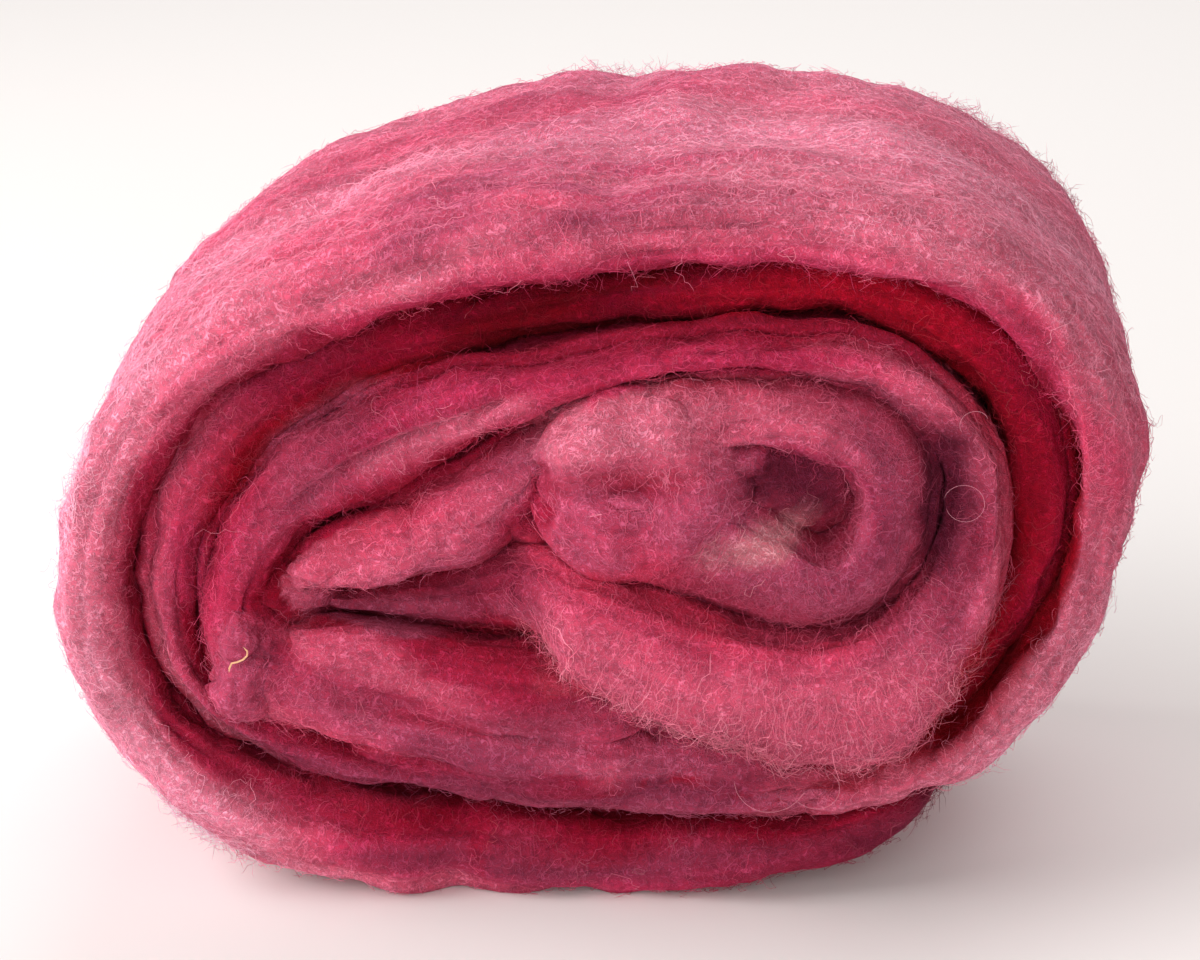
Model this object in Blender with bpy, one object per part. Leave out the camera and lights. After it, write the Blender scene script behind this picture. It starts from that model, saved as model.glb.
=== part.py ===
"""A roll of carded wool roving: one thick, soft strip of fibre wound up on itself into a flattened spiral.

The strip is a single solid. Its line of winding is drawn in the upright plane X-Z, seen from the roll's front
end, and the strip's width runs along Y. Each turn is as thick as the room between its neighbours lets it be,
with a thin parting between one turn and the next, and each long edge of the strip is rounded and stands in or
out of the roll as the real one does. The loose end lies flat under the roll and carries it.

Lengths are metres with +Z up, and the tables below are in millimetres. The origin is on the floor, under the
middle of the roll's box, and -Y is the end of the roll that shows its spiral.
"""

from collections import namedtuple

import bpy
import numpy as np

MM = 0.001

# Driving sizes, in millimetres.
STRIP_WIDTH = 56.0  # from the front end of the roll to its back end
PARTING = 0.5  # the gap between one turn and the next
SINK = 0.6  # how far the roll's weight flattens the lowest turn against what it rests on
FREE_SHARE = 0.5  # half of the loft lies on a free side
PACKED_SHARE = 0.8  # a side that meets another turn may take this share of the loft
TIGHT_BEND_SHARE = 0.65  # a layer's inner half is at most this share of its bend's radius
CROWN = 1.2  # how far a free side swells between the strip's two edges
LUMPS = 1.2  # height of the lumps on a free side
PACKED_LUMPS = 0.06  # share of the thickness that the lumps take off between turns
EDGE_ROUNDING = 4.6  # depth over which a long edge rounds off
FRONT_WANDER = 1.2  # how far the front edge wanders in and out
BACK_WANDER = 2.4  # how far the back edge does
END_TAPER = 4.5  # length over which the strip thins out at its two ends
END_THICKNESS = 0.25  # share of the thickness that is left at an end
FLOP_DEPTH = 9.0  # how far in from the front edge a flopping edge hangs over
HOLLOW_DEPTH = 16.0  # how far in from the front edge a hollow reaches
PINCH_WIDTH = 2.6  # half the width of the crease that a pinch leaves

# Spacing of the sections: close on tight bends, wide on easy ones.
FINE_STEP = 0.9
CHORD_HEIGHT = 0.10
CLOSEST_SECTIONS = 1.4
WIDEST_SECTIONS = 4.3

WOOL_PINK = (0.56, 0.10, 0.20, 1.0)
WOOL_ROUGHNESS = 0.95

# One station of the winding: where the middle of the strip lies, how thick it would be on its own, how far its
# front and back edges stand in from the ends of the roll (or out, below zero), how far the front edge flops
# outwards over the turn below, how deep a groove runs along that edge, how far the inner side draws back from
# the heart of the roll at the front, and where across the strip its front tip lies: 0 in the middle, 1 at the
# inner side and -1 at the outer side, which nearly closes the furrow on that side.
Station = namedtuple("Station", "x z loft front back flop groove hollow lean", defaults=(2.0, 0.0, 0.0, 0.0, 0.0))

LOOSE_END_AND_OUTER_TURN = (
    Station(35.5, 12.9, 4.2, 4.0, 4.0),
    Station(30.0, 10.6, 5.8, 3.5),
    Station(20.0, 7.3, 7.4, 2.5),
    Station(8.0, 5.3, 9.4, 2.0, 1.0),
    Station(-6.0, 5.2, 9.8, 1.0, 1.0),
    Station(-20.0, 6.0, 11.2, 0.0, 0.0),
    Station(-32.0, 8.0, 11.4, -0.5, 0.0),
    Station(-41.2, 12.8, 10.6, 0.0, 0.0),
    Station(-47.8, 21.8, 8.8, 1.0, 0.0),
    Station(-50.3, 31.6, 8.4, 1.0, 0.0),
    Station(-49.4, 41.0, 8.0, 1.0, 0.0),
    Station(-44.9, 51.4, 8.0, 1.0, 1.0),
    Station(-33.4, 61.6, 7.8, 0.5, 1.0),
    Station(-19.5, 67.6, 7.8, 0.0, 0.0),
    Station(-4.0, 71.2, 7.8, 0.0, 0.0),
    Station(12.0, 72.7, 7.8, 0.0, 1.0),
    Station(26.0, 72.0, 7.6, 0.0, 1.5),
    Station(37.4, 67.5, 7.2, 0.5, 1.0),
    Station(45.4, 59.4, 7.0, 1.0, 0.0, 0.0, 0.0, 0.0, 0.4),
    Station(48.6, 49.4, 6.8, 1.5, 0.0, 0.0, 0.0, 0.0, 0.6),
    Station(47.9, 39.6, 6.6, 1.5, 0.0, 0.0, 0.0, 0.0, 0.6),
    Station(44.8, 31.0, 6.8, 1.5, 1.0, 0.0, 0.0, 0.0, 0.2),
)

SECOND_TURN = (
    Station(40.6, 24.2, 6.2, 1.5),
    Station(34.7, 17.7, 5.4, 1.5),
    Station(27.0, 14.6, 5.6, 2.0, 2.0, 0.0, 0.0, 0.0, 0.4),
    Station(17.0, 12.8, 6.0, 2.0, 2.0, 0.0, 0.0, 0.0, 0.7),
    Station(3.0, 12.0, 6.0, 2.0, 2.0, 0.0, 0.0, 0.0, 0.8),
    Station(-11.0, 12.6, 5.4, 2.5, 2.0, 0.0, 0.0, 0.0, 0.6),
    Station(-24.0, 14.2, 4.6, 2.5, 2.0, 0.0, 0.0, 0.0, 0.1),
    Station(-34.0, 17.0, 4.2, 3.0),
    Station(-41.2, 22.2, 4.8, 3.0),
    Station(-43.6, 30.0, 6.4, 3.0),
    Station(-43.1, 38.2, 6.6, 3.0),
    Station(-39.6, 46.6, 6.6, 3.5),
    Station(-32.0, 54.0, 6.2, 3.5, 3.0),
    Station(-21.8, 59.2, 6.2, 4.0, 3.0),
    Station(-10.0, 62.6, 6.0, 4.5, 3.0),
    Station(3.0, 65.0, 6.4, 4.5, 3.0),
    Station(15.0, 66.3, 6.8, 4.5, 3.0),
    Station(26.0, 65.6, 7.2, 4.5, 2.0),
    Station(35.0, 61.2, 7.8, 4.5, 2.0),
    Station(40.6, 54.4, 7.6, 4.0, 2.0, 0.0, 0.0, 0.0, -0.4),
    Station(42.0, 46.4, 7.0, 3.5, 2.0, 0.0, 0.0, 0.0, -0.6),
    Station(41.4, 38.8, 6.6, 3.5, 2.0, 0.0, 0.0, 0.0, -0.6),
    Station(38.2, 31.4, 6.6, 3.5, 2.0, 0.0, 0.0, 0.0, -0.4),
    Station(34.0, 25.2, 5.8, 4.0, 2.0),
)

THIRD_TURN = (
    Station(28.4, 19.9, 5.2, 4.5, 3.0),
    Station(19.0, 18.0, 6.6, 4.0, 3.0, 0.0, 0.0, 0.0, -0.6),
    Station(9.0, 18.6, 8.6, 3.0, 3.0, 0.0, 0.0, 0.0, -0.7),
    Station(-1.0, 20.2, 10.4, 2.0, 3.0, 0.0, 0.0, 0.0, -0.7),
    Station(-11.0, 21.8, 11.6, 1.5, 3.0, 0.0, 0.0, 0.0, -0.5),
    Station(-21.0, 22.9, 11.8, 1.0, 3.0, 0.0, 0.0, 0.0, -0.2),
    Station(-29.4, 24.2, 10.4, 1.0, 3.0),
    Station(-34.8, 27.2, 8.4, 1.5, 3.0),
    Station(-36.4, 32.6, 7.4, 2.5, 3.0),
    Station(-35.0, 38.4, 8.6, 2.5, 3.0, 0.0, 0.6),
    Station(-30.6, 44.0, 10.4, 2.0, 3.0, 0.0, 1.4),
    Station(-23.6, 49.4, 11.2, 1.5, 3.0, 0.0, 1.8),
    Station(-15.4, 53.4, 10.0, 1.0, 3.0, 0.0, 1.4),
    Station(-7.0, 56.8, 7.2, 0.5, 3.0, 0.0, 0.6),
    Station(2.0, 59.6, 5.0, 0.0, 3.0),
    Station(12.0, 61.0, 4.4, 0.0, 3.0),
    Station(21.0, 60.8, 4.6, 0.0, 3.0),
    Station(28.6, 58.4, 5.2, -0.5, 3.0),
    Station(33.4, 53.8, 6.0, -0.5, 3.0, 0.0, 0.0, 0.0, -0.6),
    Station(35.6, 47.8, 6.8, -0.5, 3.0, 0.0, 0.0, 0.6, -0.8),
    Station(35.6, 41.2, 7.6, -1.5, 3.0, 0.5, 0.0, 0.3, -0.5),
    Station(32.0, 34.8, 8.2, -3.5, 3.0, 2.5),
)

HEART = (
    Station(26.6, 30.9, 9.0, -5.0, 3.0, 5.0),
    Station(18.6, 30.0, 9.0, -5.5, 3.0, 5.5),
    Station(10.0, 31.6, 9.0, -5.5, 3.0, 4.5),
    Station(2.0, 34.2, 9.2, -5.0, 3.0, 3.5),
    Station(-4.4, 35.4, 9.2, -4.0, 3.0, 2.0),
    Station(-8.0, 34.9, 7.8, 3.0, 3.0),
    Station(-11.0, 33.8, 6.6, 3.5, 3.0),
    Station(-19.0, 32.2, 5.0, 4.5, 3.0),
    Station(-26.4, 31.6, 3.8, 5.5, 3.0, 0.0, 0.0, 0.0, 0.3),
    Station(-30.4, 34.0, 3.6, 5.0, 3.0, 0.0, 0.0, 0.0, 0.3),
    Station(-27.0, 37.0, 4.2, 2.5, 3.0, 0.0, 0.0, 0.0, 0.6),
    Station(-20.0, 39.9, 8.0, 1.5, 3.0, 0.0, 0.0, 0.0, 0.4),
    Station(-13.4, 43.2, 9.6, 1.5, 3.0, 0.0, 0.0, 0.0, 0.2),
    Station(-7.6, 47.4, 9.8, 2.0, 3.0),
    Station(-3.4, 50.6, 9.4, -1.5, 3.0, 0.0, 0.0, 0.0, 0.5),
    Station(0.4, 52.8, 9.0, -2.5, 3.0, 0.0, 0.0, 0.0, 0.7),
    Station(7.0, 54.8, 8.6, -2.5, 3.0, 0.0, 0.0, 0.0, 0.7),
    Station(14.4, 55.6, 8.4, -2.5, 3.0, 0.0, 0.0, 3.0, 0.5),
    Station(21.4, 54.2, 8.6, -2.0, 3.0, 0.0, 0.0, 4.5, 0.3),
    Station(26.6, 50.4, 8.6, -2.0, 3.0, 0.0, 0.0, 2.0, 0.3),
    Station(28.0, 44.9, 8.6, -2.0, 3.0, 0.0, 0.0, 1.0, 0.3),
    Station(25.0, 39.9, 9.6, -2.5, 3.0, 0.0, 0.0, 1.5, 0.4),
    Station(18.2, 38.4, 11.0, -3.0, 3.0, 0.0, 0.0, 2.0, 0.5),
    Station(10.0, 40.3, 10.4, -3.0, 3.0, 0.0, 0.0, 0.5, 0.7),
    Station(2.6, 42.8, 9.8, -3.0, 3.0, 0.0, 0.0, 0.0, 0.7),
    Station(-4.8, 44.0, 8.8, -2.5, 3.0, 0.0, 0.0, 0.0, 0.6),
)

WINDING = LOOSE_END_AND_OUTER_TURN + SECOND_TURN + THIRD_TURN + HEART

# Creases that cross the strip: the place on the winding, the crease's depth in the outer side, and how far it
# draws the front edge in.
Pinch = namedtuple("Pinch", "x z outer front")

PINCHES = (
    Pinch(-14.5, 6.0, 1.3, 2.0),
    Pinch(1.0, 72.0, 0.6, 0.4),
    Pinch(-6.0, 22.0, 0.0, 1.2),
    Pinch(2.0, 65.0, 0.0, 1.0),
    Pinch(-5.2, 49.4, 0.0, 1.6),
)


def spline(knots, values, at):
    """A natural cubic spline through values at knots, read at the positions `at`."""
    gap = np.diff(knots)
    count = len(knots)
    system = np.eye(count)
    right_hand = np.zeros((count, values.shape[1]))
    slopes = np.diff(values, axis=0) / gap[:, None]
    for row in range(1, count - 1):
        system[row, row - 1 : row + 2] = gap[row - 1], 2 * (gap[row - 1] + gap[row]), gap[row]
        right_hand[row] = 6 * (slopes[row] - slopes[row - 1])
    bend = np.linalg.solve(system, right_hand)
    span = np.clip(np.searchsorted(knots, at) - 1, 0, count - 2)
    wide = gap[span][:, None]
    low = (at - knots[span])[:, None]
    high = wide - low
    return (
        bend[span] * high**3 / (6 * wide)
        + bend[span + 1] * low**3 / (6 * wide)
        + (values[span] / wide - bend[span] * wide / 6) * high
        + (values[span + 1] / wide - bend[span + 1] * wide / 6) * low
    )


def blur(values, reach):
    """Values at the fine points, averaged with a bell curve `reach` millimetres wide."""
    half = int(np.ceil(2 * reach / FINE_STEP))
    bell = np.exp(-0.5 * (np.arange(-half, half + 1) * FINE_STEP / reach) ** 2)
    padded = np.pad(values, half, mode="edge")
    return np.convolve(padded, bell / bell.sum(), mode="valid")


def winding_line():
    """The winding at fine, even steps: points, unit directions, distances and the stations' other columns."""
    rows = np.array(WINDING)
    places = rows[:, :2]
    knots = np.concatenate([[0.0], np.cumsum(np.hypot(*np.diff(places, axis=0).T))])
    dense = np.linspace(0.0, knots[-1], 8000)
    line = spline(knots, places, dense)
    travelled = np.concatenate([[0.0], np.cumsum(np.hypot(*np.diff(line, axis=0).T))])
    distance = np.arange(0.0, travelled[-1], FINE_STEP)
    at = np.interp(distance, travelled, dense)
    points = spline(knots, places, at)
    ahead = np.gradient(points, FINE_STEP, axis=0)
    ahead /= np.linalg.norm(ahead, axis=1)[:, None]
    columns = {
        name: blur(np.interp(at, knots, rows[:, index]), 2.4)
        for index, name in enumerate(Station._fields)
        if index > 1
    }
    for name in ("outer", "front"):
        columns["pinch_" + name] = np.zeros(len(distance))
    for pinch in PINCHES:
        middle = distance[np.hypot(points[:, 0] - pinch.x, points[:, 1] - pinch.z).argmin()]
        trough = np.exp(-(((distance - middle) / PINCH_WIDTH) ** 2))
        columns["pinch_outer"] += pinch.outer * trough
        columns["pinch_front"] += pinch.front * trough
    return points, ahead, distance, columns


def narrowest(values, reach):
    """The least value within `reach` millimetres on either side of each fine point."""
    half = int(np.ceil(reach / FINE_STEP))
    padded = np.pad(values, half, mode="edge")
    return np.min([padded[start : start + len(values)] for start in range(2 * half + 1)], axis=0)


def turning_rate(ahead):
    """How fast the direction turns, in radians per millimetre: above zero where the strip bends outwards."""
    return np.gradient(np.unwrap(np.arctan2(ahead[:, 1], ahead[:, 0])), FINE_STEP)


def room_between_turns(points, ahead, loft):
    """Half-thicknesses on the outer and inner side, and how free the outer side is (0 to 1).

    Along each fine point's normal the nearest other turn is found. The room up to it, squared to that turn where
    the two lean, is shared between them by their lofts, less half the parting each."""
    outward = np.stack([-ahead[:, 1], ahead[:, 0]], axis=1)
    offset = points[None, :, :] - points[:, None, :]
    along = np.einsum("ijk,ik->ij", offset, ahead)
    across = np.einsum("ijk,ik->ij", offset, outward)
    crossing = along[:, :-1] * along[:, 1:] <= 0
    order = np.arange(len(points))
    apart = np.abs(order[None, :-1] - order[:, None]) > 3
    part = along[:, :-1] / (along[:, :-1] - along[:, 1:] + 1e-12)
    reach = across[:, :-1] + part * (across[:, 1:] - across[:, :-1])
    halves = []
    for side in (1.0, -1.0):
        far = np.where(crossing & apart & (reach * side > 0), reach * side, np.inf)
        nearest = far.argmin(axis=1)
        lean = np.abs(np.sum(ahead * ahead[nearest], axis=1))
        gap = far.min(axis=1) * lean
        share = loft / (loft + loft[nearest])
        packed = np.minimum(np.where(np.isfinite(gap), gap, 0.0) * share - PARTING / 2, PACKED_SHARE * loft)
        half = np.where(np.isfinite(gap), packed, FREE_SHARE * loft)
        bend_limit = TIGHT_BEND_SHARE / np.maximum(turning_rate(ahead) * side, 1e-6)
        half = np.maximum(np.minimum(half, narrowest(bend_limit, 1.8)), 0.3)
        halves.append(np.minimum(blur(half, 2.0), half))
        if side > 0:
            free = blur(1.0 - np.isfinite(gap), 4.0)
    return halves[0], halves[1], free


def section_places(ahead, distance, pinch):
    """Distances of the sections: close on sharp bends, so that no chord cuts deep, at pinches and at the ends."""
    radius = 1.0 / np.maximum(np.abs(turning_rate(ahead)), 1e-4)
    step = np.sqrt(8 * CHORD_HEIGHT * radius) / (1 + pinch)
    to_end = np.minimum(distance, distance[-1] - distance)
    step = np.where(to_end < END_TAPER, CLOSEST_SECTIONS, step)
    step = np.clip(step, CLOSEST_SECTIONS, WIDEST_SECTIONS)
    count = np.concatenate([[0.0], np.cumsum(FINE_STEP / blur(step, 2.0)[1:])])
    return np.interp(np.linspace(0.0, count[-1], int(round(count[-1])) + 1), count, distance)


def unevenness(distance, depth, seed):
    """A soft lumpiness from -1 to 1: crossed waves of unlike lengths along the strip and over its width."""
    dice = np.random.default_rng(seed)
    total = np.zeros(np.broadcast(distance, depth).shape)
    lengths = (23.0, 37.0, 61.0)
    for length in lengths:
        phase, lean, shift = dice.uniform(0, 2 * np.pi, 3)
        total = total + np.sin(2 * np.pi * distance / length + phase + 1.5 * np.sin(depth / 9.0 + lean) + shift)
    return total / len(lengths)


def section_levels():
    """Depths behind the front tip and fullness (0 at a tip, 1 on the flat) of the points down a section's side.

    The depths are given as a share of the strip's width."""
    angles = np.radians([22.0, 46.0, 70.0])
    rounding = np.sin(angles) ** 0.8
    depth = (1 - np.cos(angles)) * EDGE_ROUNDING / STRIP_WIDTH
    edge = EDGE_ROUNDING * 1.3 / STRIP_WIDTH
    flat = np.linspace(edge, 1 - edge, 5)
    share = np.concatenate([depth, flat, 1 - depth[::-1]])
    fullness = np.concatenate([rounding, np.ones(len(flat)), rounding[::-1]])
    return share, fullness


def near_front(depth_in, reach):
    """1 at the front edge, falling smoothly to 0 at `reach` millimetres in."""
    near = np.clip(1 - depth_in / reach, 0, 1)
    return near**2 * (3 - 2 * near)


def strip_surface():
    """Points of the strip's surface in millimetres: one ring of points for each section of the winding."""
    fine_points, fine_ahead, fine_distance, fine = winding_line()
    fine["outer"], fine["inner"], fine["free"] = room_between_turns(fine_points, fine_ahead, fine["loft"])
    distance = section_places(fine_ahead, fine_distance, fine["pinch_outer"] + fine["pinch_front"])
    points = np.stack([np.interp(distance, fine_distance, fine_points[:, axis]) for axis in (0, 1)], axis=1)
    ahead = np.stack([np.interp(distance, fine_distance, fine_ahead[:, axis]) for axis in (0, 1)], axis=1)
    ahead /= np.linalg.norm(ahead, axis=1)[:, None]
    outward = np.stack([-ahead[:, 1], ahead[:, 0]], axis=1)
    at = {name: np.interp(distance, fine_distance, values)[:, None] for name, values in fine.items()}

    share, fullness = section_levels()
    distance = distance[:, None]
    front = at["front"] + at["pinch_front"] + FRONT_WANDER * 0.5 * unevenness(distance, 0.0, 3)
    back = STRIP_WIDTH - at["back"] - BACK_WANDER * 0.5 * (1 + unevenness(distance, 0.0, 4))
    depth = front + share * (back - front)

    to_end = np.clip(np.minimum(distance, distance[-1] - distance) / END_TAPER, 0, 1)
    taper = END_THICKNESS + (1 - END_THICKNESS) * np.sqrt(1 - (1 - to_end) ** 2)
    lumps = unevenness(distance, depth, 5)
    packed = 1 - PACKED_LUMPS * 0.5 * (1 + lumps)
    crown = at["free"] * (CROWN * 4 * share * (1 - share) + LUMPS * 0.5 * lumps)
    flop = at["flop"] * near_front(depth - front, FLOP_DEPTH)
    hollow = at["hollow"] * near_front(depth - front, HOLLOW_DEPTH)
    outer = np.maximum(at["outer"] * taper * packed + crown - at["pinch_outer"], 0.3)
    inner = np.maximum(at["inner"] * taper * packed - hollow, 0.3)

    lean = at["lean"] * (share < 0.5)
    to_inner, to_outer = np.maximum(lean, 0), np.maximum(-lean, 0)
    tip = (0.3 * at["flop"] + to_outer * outer - to_inner * inner)[:, :1]
    rest = 1 - fullness
    across_outer = outer * (fullness + to_outer * rest) - to_inner * inner * rest + flop * (1 - 0.7 * rest)
    across_inner = 0.3 * flop * rest - inner * (fullness + to_inner * rest) + to_outer * outer * rest
    across = np.hstack([tip, across_outer, np.zeros_like(tip), across_inner[:, ::-1]])
    depth = np.hstack([front + at["groove"], depth, back, depth[:, ::-1]])
    x = points[:, :1] + outward[:, :1] * across
    z = np.maximum(points[:, 1:] + outward[:, 1:] * across - SINK, 0.0)
    surface = np.stack([x, depth, z], axis=-1)
    middle = (surface.min(axis=(0, 1)) + surface.max(axis=(0, 1))) / 2
    middle[2] = 0.0
    return surface - middle


def strip_mesh(grid):
    """A closed mesh of the grid: bands of quads between sections, and a fan of triangles over each end."""
    sections, ring = grid.shape[:2]
    corner = np.arange(sections * ring).reshape(sections, ring)
    beside = np.roll(corner, -1, axis=1)
    sides = np.stack([corner[:-1], corner[1:], beside[1:], beside[:-1]], axis=-1).reshape(-1, 4)
    faces = [tuple(face) for face in sides.tolist()]
    first_middle = sections * ring
    for here, there in zip(corner[0].tolist(), beside[0].tolist()):
        faces.append((first_middle, here, there))
    for here, there in zip(corner[-1].tolist(), beside[-1].tolist()):
        faces.append((first_middle + 1, there, here))
    middles = np.stack([grid[0].mean(axis=0), grid[-1].mean(axis=0)])
    vertices = np.concatenate([grid.reshape(-1, 3), middles]) * MM
    mesh = bpy.data.meshes.new("roving_roll")
    mesh.from_pydata(vertices.tolist(), [], faces)
    return mesh


def wool_material():
    """Dyed wool: a matt pink fibre."""
    material = bpy.data.materials.new("dyed_wool")
    material.use_nodes = True
    shader = material.node_tree.nodes["Principled BSDF"]
    shader.inputs["Base Color"].default_value = WOOL_PINK
    shader.inputs["Roughness"].default_value = WOOL_ROUGHNESS
    shader.inputs["Metallic"].default_value = 0.0
    return material


def build():
    """Empties the scene and makes the roll."""
    for old in list(bpy.data.objects):
        bpy.data.objects.remove(old)
    mesh = strip_mesh(strip_surface())
    mesh.materials.append(wool_material())
    mesh.shade_smooth()
    roll = bpy.data.objects.new("roving_roll", mesh)
    bpy.context.scene.collection.objects.link(roll)


build()
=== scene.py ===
"""The looks of a roll of hand-dyed wool roving: one lofty strip of carded fibre, wound into a flattened spiral.

The strip's surface is worked out again from the same stations as the solid, but on a finer grid and with the
soft clumps and creases of loose wool. Matted wool lies over some of its furrows as soft lumps and cords. Crimped
single fibres stand on it as short closed tubes. Each takes the dye of the place that it grows from, and the dye
follows the strip as it was painted on before winding. Painted shade darkens its furrows, hollows and creases,
and painted light lies along some ridges and lobes.

Tables and working values are in millimetres. +X is to the right, -Y is the end that shows the spiral, +Z is up.
"""

from collections import namedtuple

import bpy
import numpy as np
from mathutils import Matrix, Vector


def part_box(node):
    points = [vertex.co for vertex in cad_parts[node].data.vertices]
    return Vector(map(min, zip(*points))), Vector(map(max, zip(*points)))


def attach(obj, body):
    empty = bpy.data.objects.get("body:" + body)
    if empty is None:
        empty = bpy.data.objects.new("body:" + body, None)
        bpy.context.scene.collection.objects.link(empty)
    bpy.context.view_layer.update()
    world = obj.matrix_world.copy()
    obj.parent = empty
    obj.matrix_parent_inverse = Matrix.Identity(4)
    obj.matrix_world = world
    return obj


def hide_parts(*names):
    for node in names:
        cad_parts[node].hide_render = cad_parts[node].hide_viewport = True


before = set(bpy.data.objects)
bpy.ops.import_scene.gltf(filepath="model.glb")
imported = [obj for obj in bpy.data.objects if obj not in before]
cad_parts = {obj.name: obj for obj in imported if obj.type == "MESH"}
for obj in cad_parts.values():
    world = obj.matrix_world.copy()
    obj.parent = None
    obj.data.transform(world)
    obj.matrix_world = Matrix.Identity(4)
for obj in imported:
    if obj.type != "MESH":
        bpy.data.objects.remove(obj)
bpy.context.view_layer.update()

MM = 0.001
ROOT = "root"
SOLID = "roving_roll"


def table(kind, *rows):
    """Rows of plain values, each with its columns named as the kind names them."""
    return tuple(kind(*row) for row in rows)


# ---- The winding: the same stations and sizes as the solid's.

STRIP_WIDTH = 56.0  # from the front end of the roll to its back end
PARTING = 0.5  # the gap between one turn and the next
SINK = 0.6  # how far the roll's weight flattens the lowest turn
FREE_SHARE = 0.5  # half of the loft lies on a free side
PACKED_SHARE = 0.8  # a side that meets another turn may take this share of the loft
TIGHT_BEND_SHARE = 0.65  # a layer's inner half is at most this share of its bend's radius
CROWN = 1.2  # how far a free side swells between the strip's two edges
LUMPS, LUMPS_SEED = 1.2, 5  # height of the broad lumps on a free side
EDGE_ROUNDING = 4.6  # depth over which a long edge rounds off
FRONT_WANDER, FRONT_SEED = 1.2, 3  # how far the front edge wanders in and out
BACK_WANDER, BACK_SEED = 2.4, 4
END_TAPER = 4.5  # length over which the strip thins out at its two ends
END_THICKNESS = 0.25  # the share of its thickness that the strip keeps there
FLOP_DEPTH = 9.0  # how far in from the front edge a flopping edge hangs over
HOLLOW_DEPTH = 16.0  # how far in from the front edge a hollow reaches
PINCH_WIDTH = 2.6
THINNEST = 0.3  # the least half-thickness
SPLINE_POINTS = 8000
FINE_STEP = 0.9  # from one fine point of the winding to the next
SAME_TURN = 3  # fine points this few steps apart belong to the same turn
BEND_REACH = 1.8  # how far along the strip a tight bend thins it
COLUMN_BLUR, HALF_BLUR, FREE_BLUR = 2.4, 2.0, 4.0  # how far the stations' columns and what follows are smoothed
WAVE_LENGTHS = (23.0, 37.0, 61.0)  # of the strip's unevenness, along it
WAVE_SWAY, SWAY_DEPTH = 1.5, 9.0  # how far those waves bend across the strip (radians), and over what depth

# Where the middle of the strip lies, how thick it would be on its own, how far its front and back edges stand in
# from the ends of the roll, where across the strip its front tip lies (0 in the middle, 1 at the inner side and -1
# at the outer side, which nearly closes the furrow there), how far the front edge flops over the turn below, how
# deep a groove runs along that edge, and how far the inner side draws back from the heart of the roll.
Station = namedtuple("Station", "x z loft front back lean flop groove hollow", defaults=(3.0, 0, 0, 0, 0))

LOOSE_END_AND_OUTER_TURN = table(
    Station,
    (35.5, 12.9, 4.2, 4.0, 4.0),
    (30.0, 10.6, 5.8, 3.5, 2.0),
    (20.0, 7.3, 7.4, 2.5, 2.0),
    (8.0, 5.3, 9.4, 2.0, 1.0),
    (-6.0, 5.2, 9.8, 1.0, 1.0),
    (-20.0, 6.0, 11.2, 0.0, 0.0),
    (-32.0, 8.0, 11.4, -0.5, 0.0),
    (-41.2, 12.8, 10.6, 0.0, 0.0),
    (-47.8, 21.8, 8.8, 1.0, 0.0),
    (-50.3, 31.6, 8.4, 1.0, 0.0),
    (-49.4, 41.0, 8.0, 1.0, 0.0),
    (-44.9, 51.4, 8.0, 1.0, 1.0),
    (-33.4, 61.6, 7.8, 0.5, 1.0),
    (-19.5, 67.6, 7.8, 0.0, 0.0),
    (-4.0, 71.2, 7.8, 0.0, 0.0),
    (12.0, 72.7, 7.8, 0.0, 1.0),
    (26.0, 72.0, 7.6, 0.0, 1.5),
    (37.4, 67.5, 7.2, 0.5, 1.0),
    (45.4, 59.4, 7.0, 1.0, 0.0, 0.4),
    (48.6, 49.4, 6.8, 1.5, 0.0, 0.6),
    (47.9, 39.6, 6.6, 1.5, 0.0, 0.6),
    (44.8, 31.0, 6.8, 1.5, 1.0, 0.2),
)

SECOND_TURN = table(
    Station,
    (40.6, 24.2, 6.2, 1.5, 2.0),
    (34.7, 17.7, 5.4, 1.5, 2.0),
    (27.0, 14.6, 5.6, 2.0, 2.0, 0.4),
    (17.0, 12.8, 6.0, 2.0, 2.0, 0.7),
    (3.0, 12.0, 6.0, 2.0, 2.0, 0.8),
    (-11.0, 12.6, 5.4, 2.5, 2.0, 0.6),
    (-24.0, 14.2, 4.6, 2.5, 2.0, 0.1),
    (-34.0, 17.0, 4.2, 3.0, 2.0),
    (-41.2, 22.2, 4.8, 3.0, 2.0),
    (-43.6, 30.0, 6.4, 3.0, 2.0),
    (-43.1, 38.2, 6.6, 3.0, 2.0),
    (-39.6, 46.6, 6.6, 3.5, 2.0),
    (-32.0, 54.0, 6.2, 3.5),
    (-21.8, 59.2, 6.2, 4.0),
    (-10.0, 62.6, 6.0, 4.5),
    (3.0, 65.0, 6.4, 4.5),
    (15.0, 66.3, 6.8, 4.5),
    (26.0, 65.6, 7.2, 4.5, 2.0),
    (35.0, 61.2, 7.8, 4.5, 2.0),
    (40.6, 54.4, 7.6, 4.0, 2.0, -0.4),
    (42.0, 46.4, 7.0, 3.5, 2.0, -0.6),
    (41.4, 38.8, 6.6, 3.5, 2.0, -0.6),
    (38.2, 31.4, 6.6, 3.5, 2.0, -0.4),
    (34.0, 25.2, 5.8, 4.0, 2.0),
)

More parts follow.
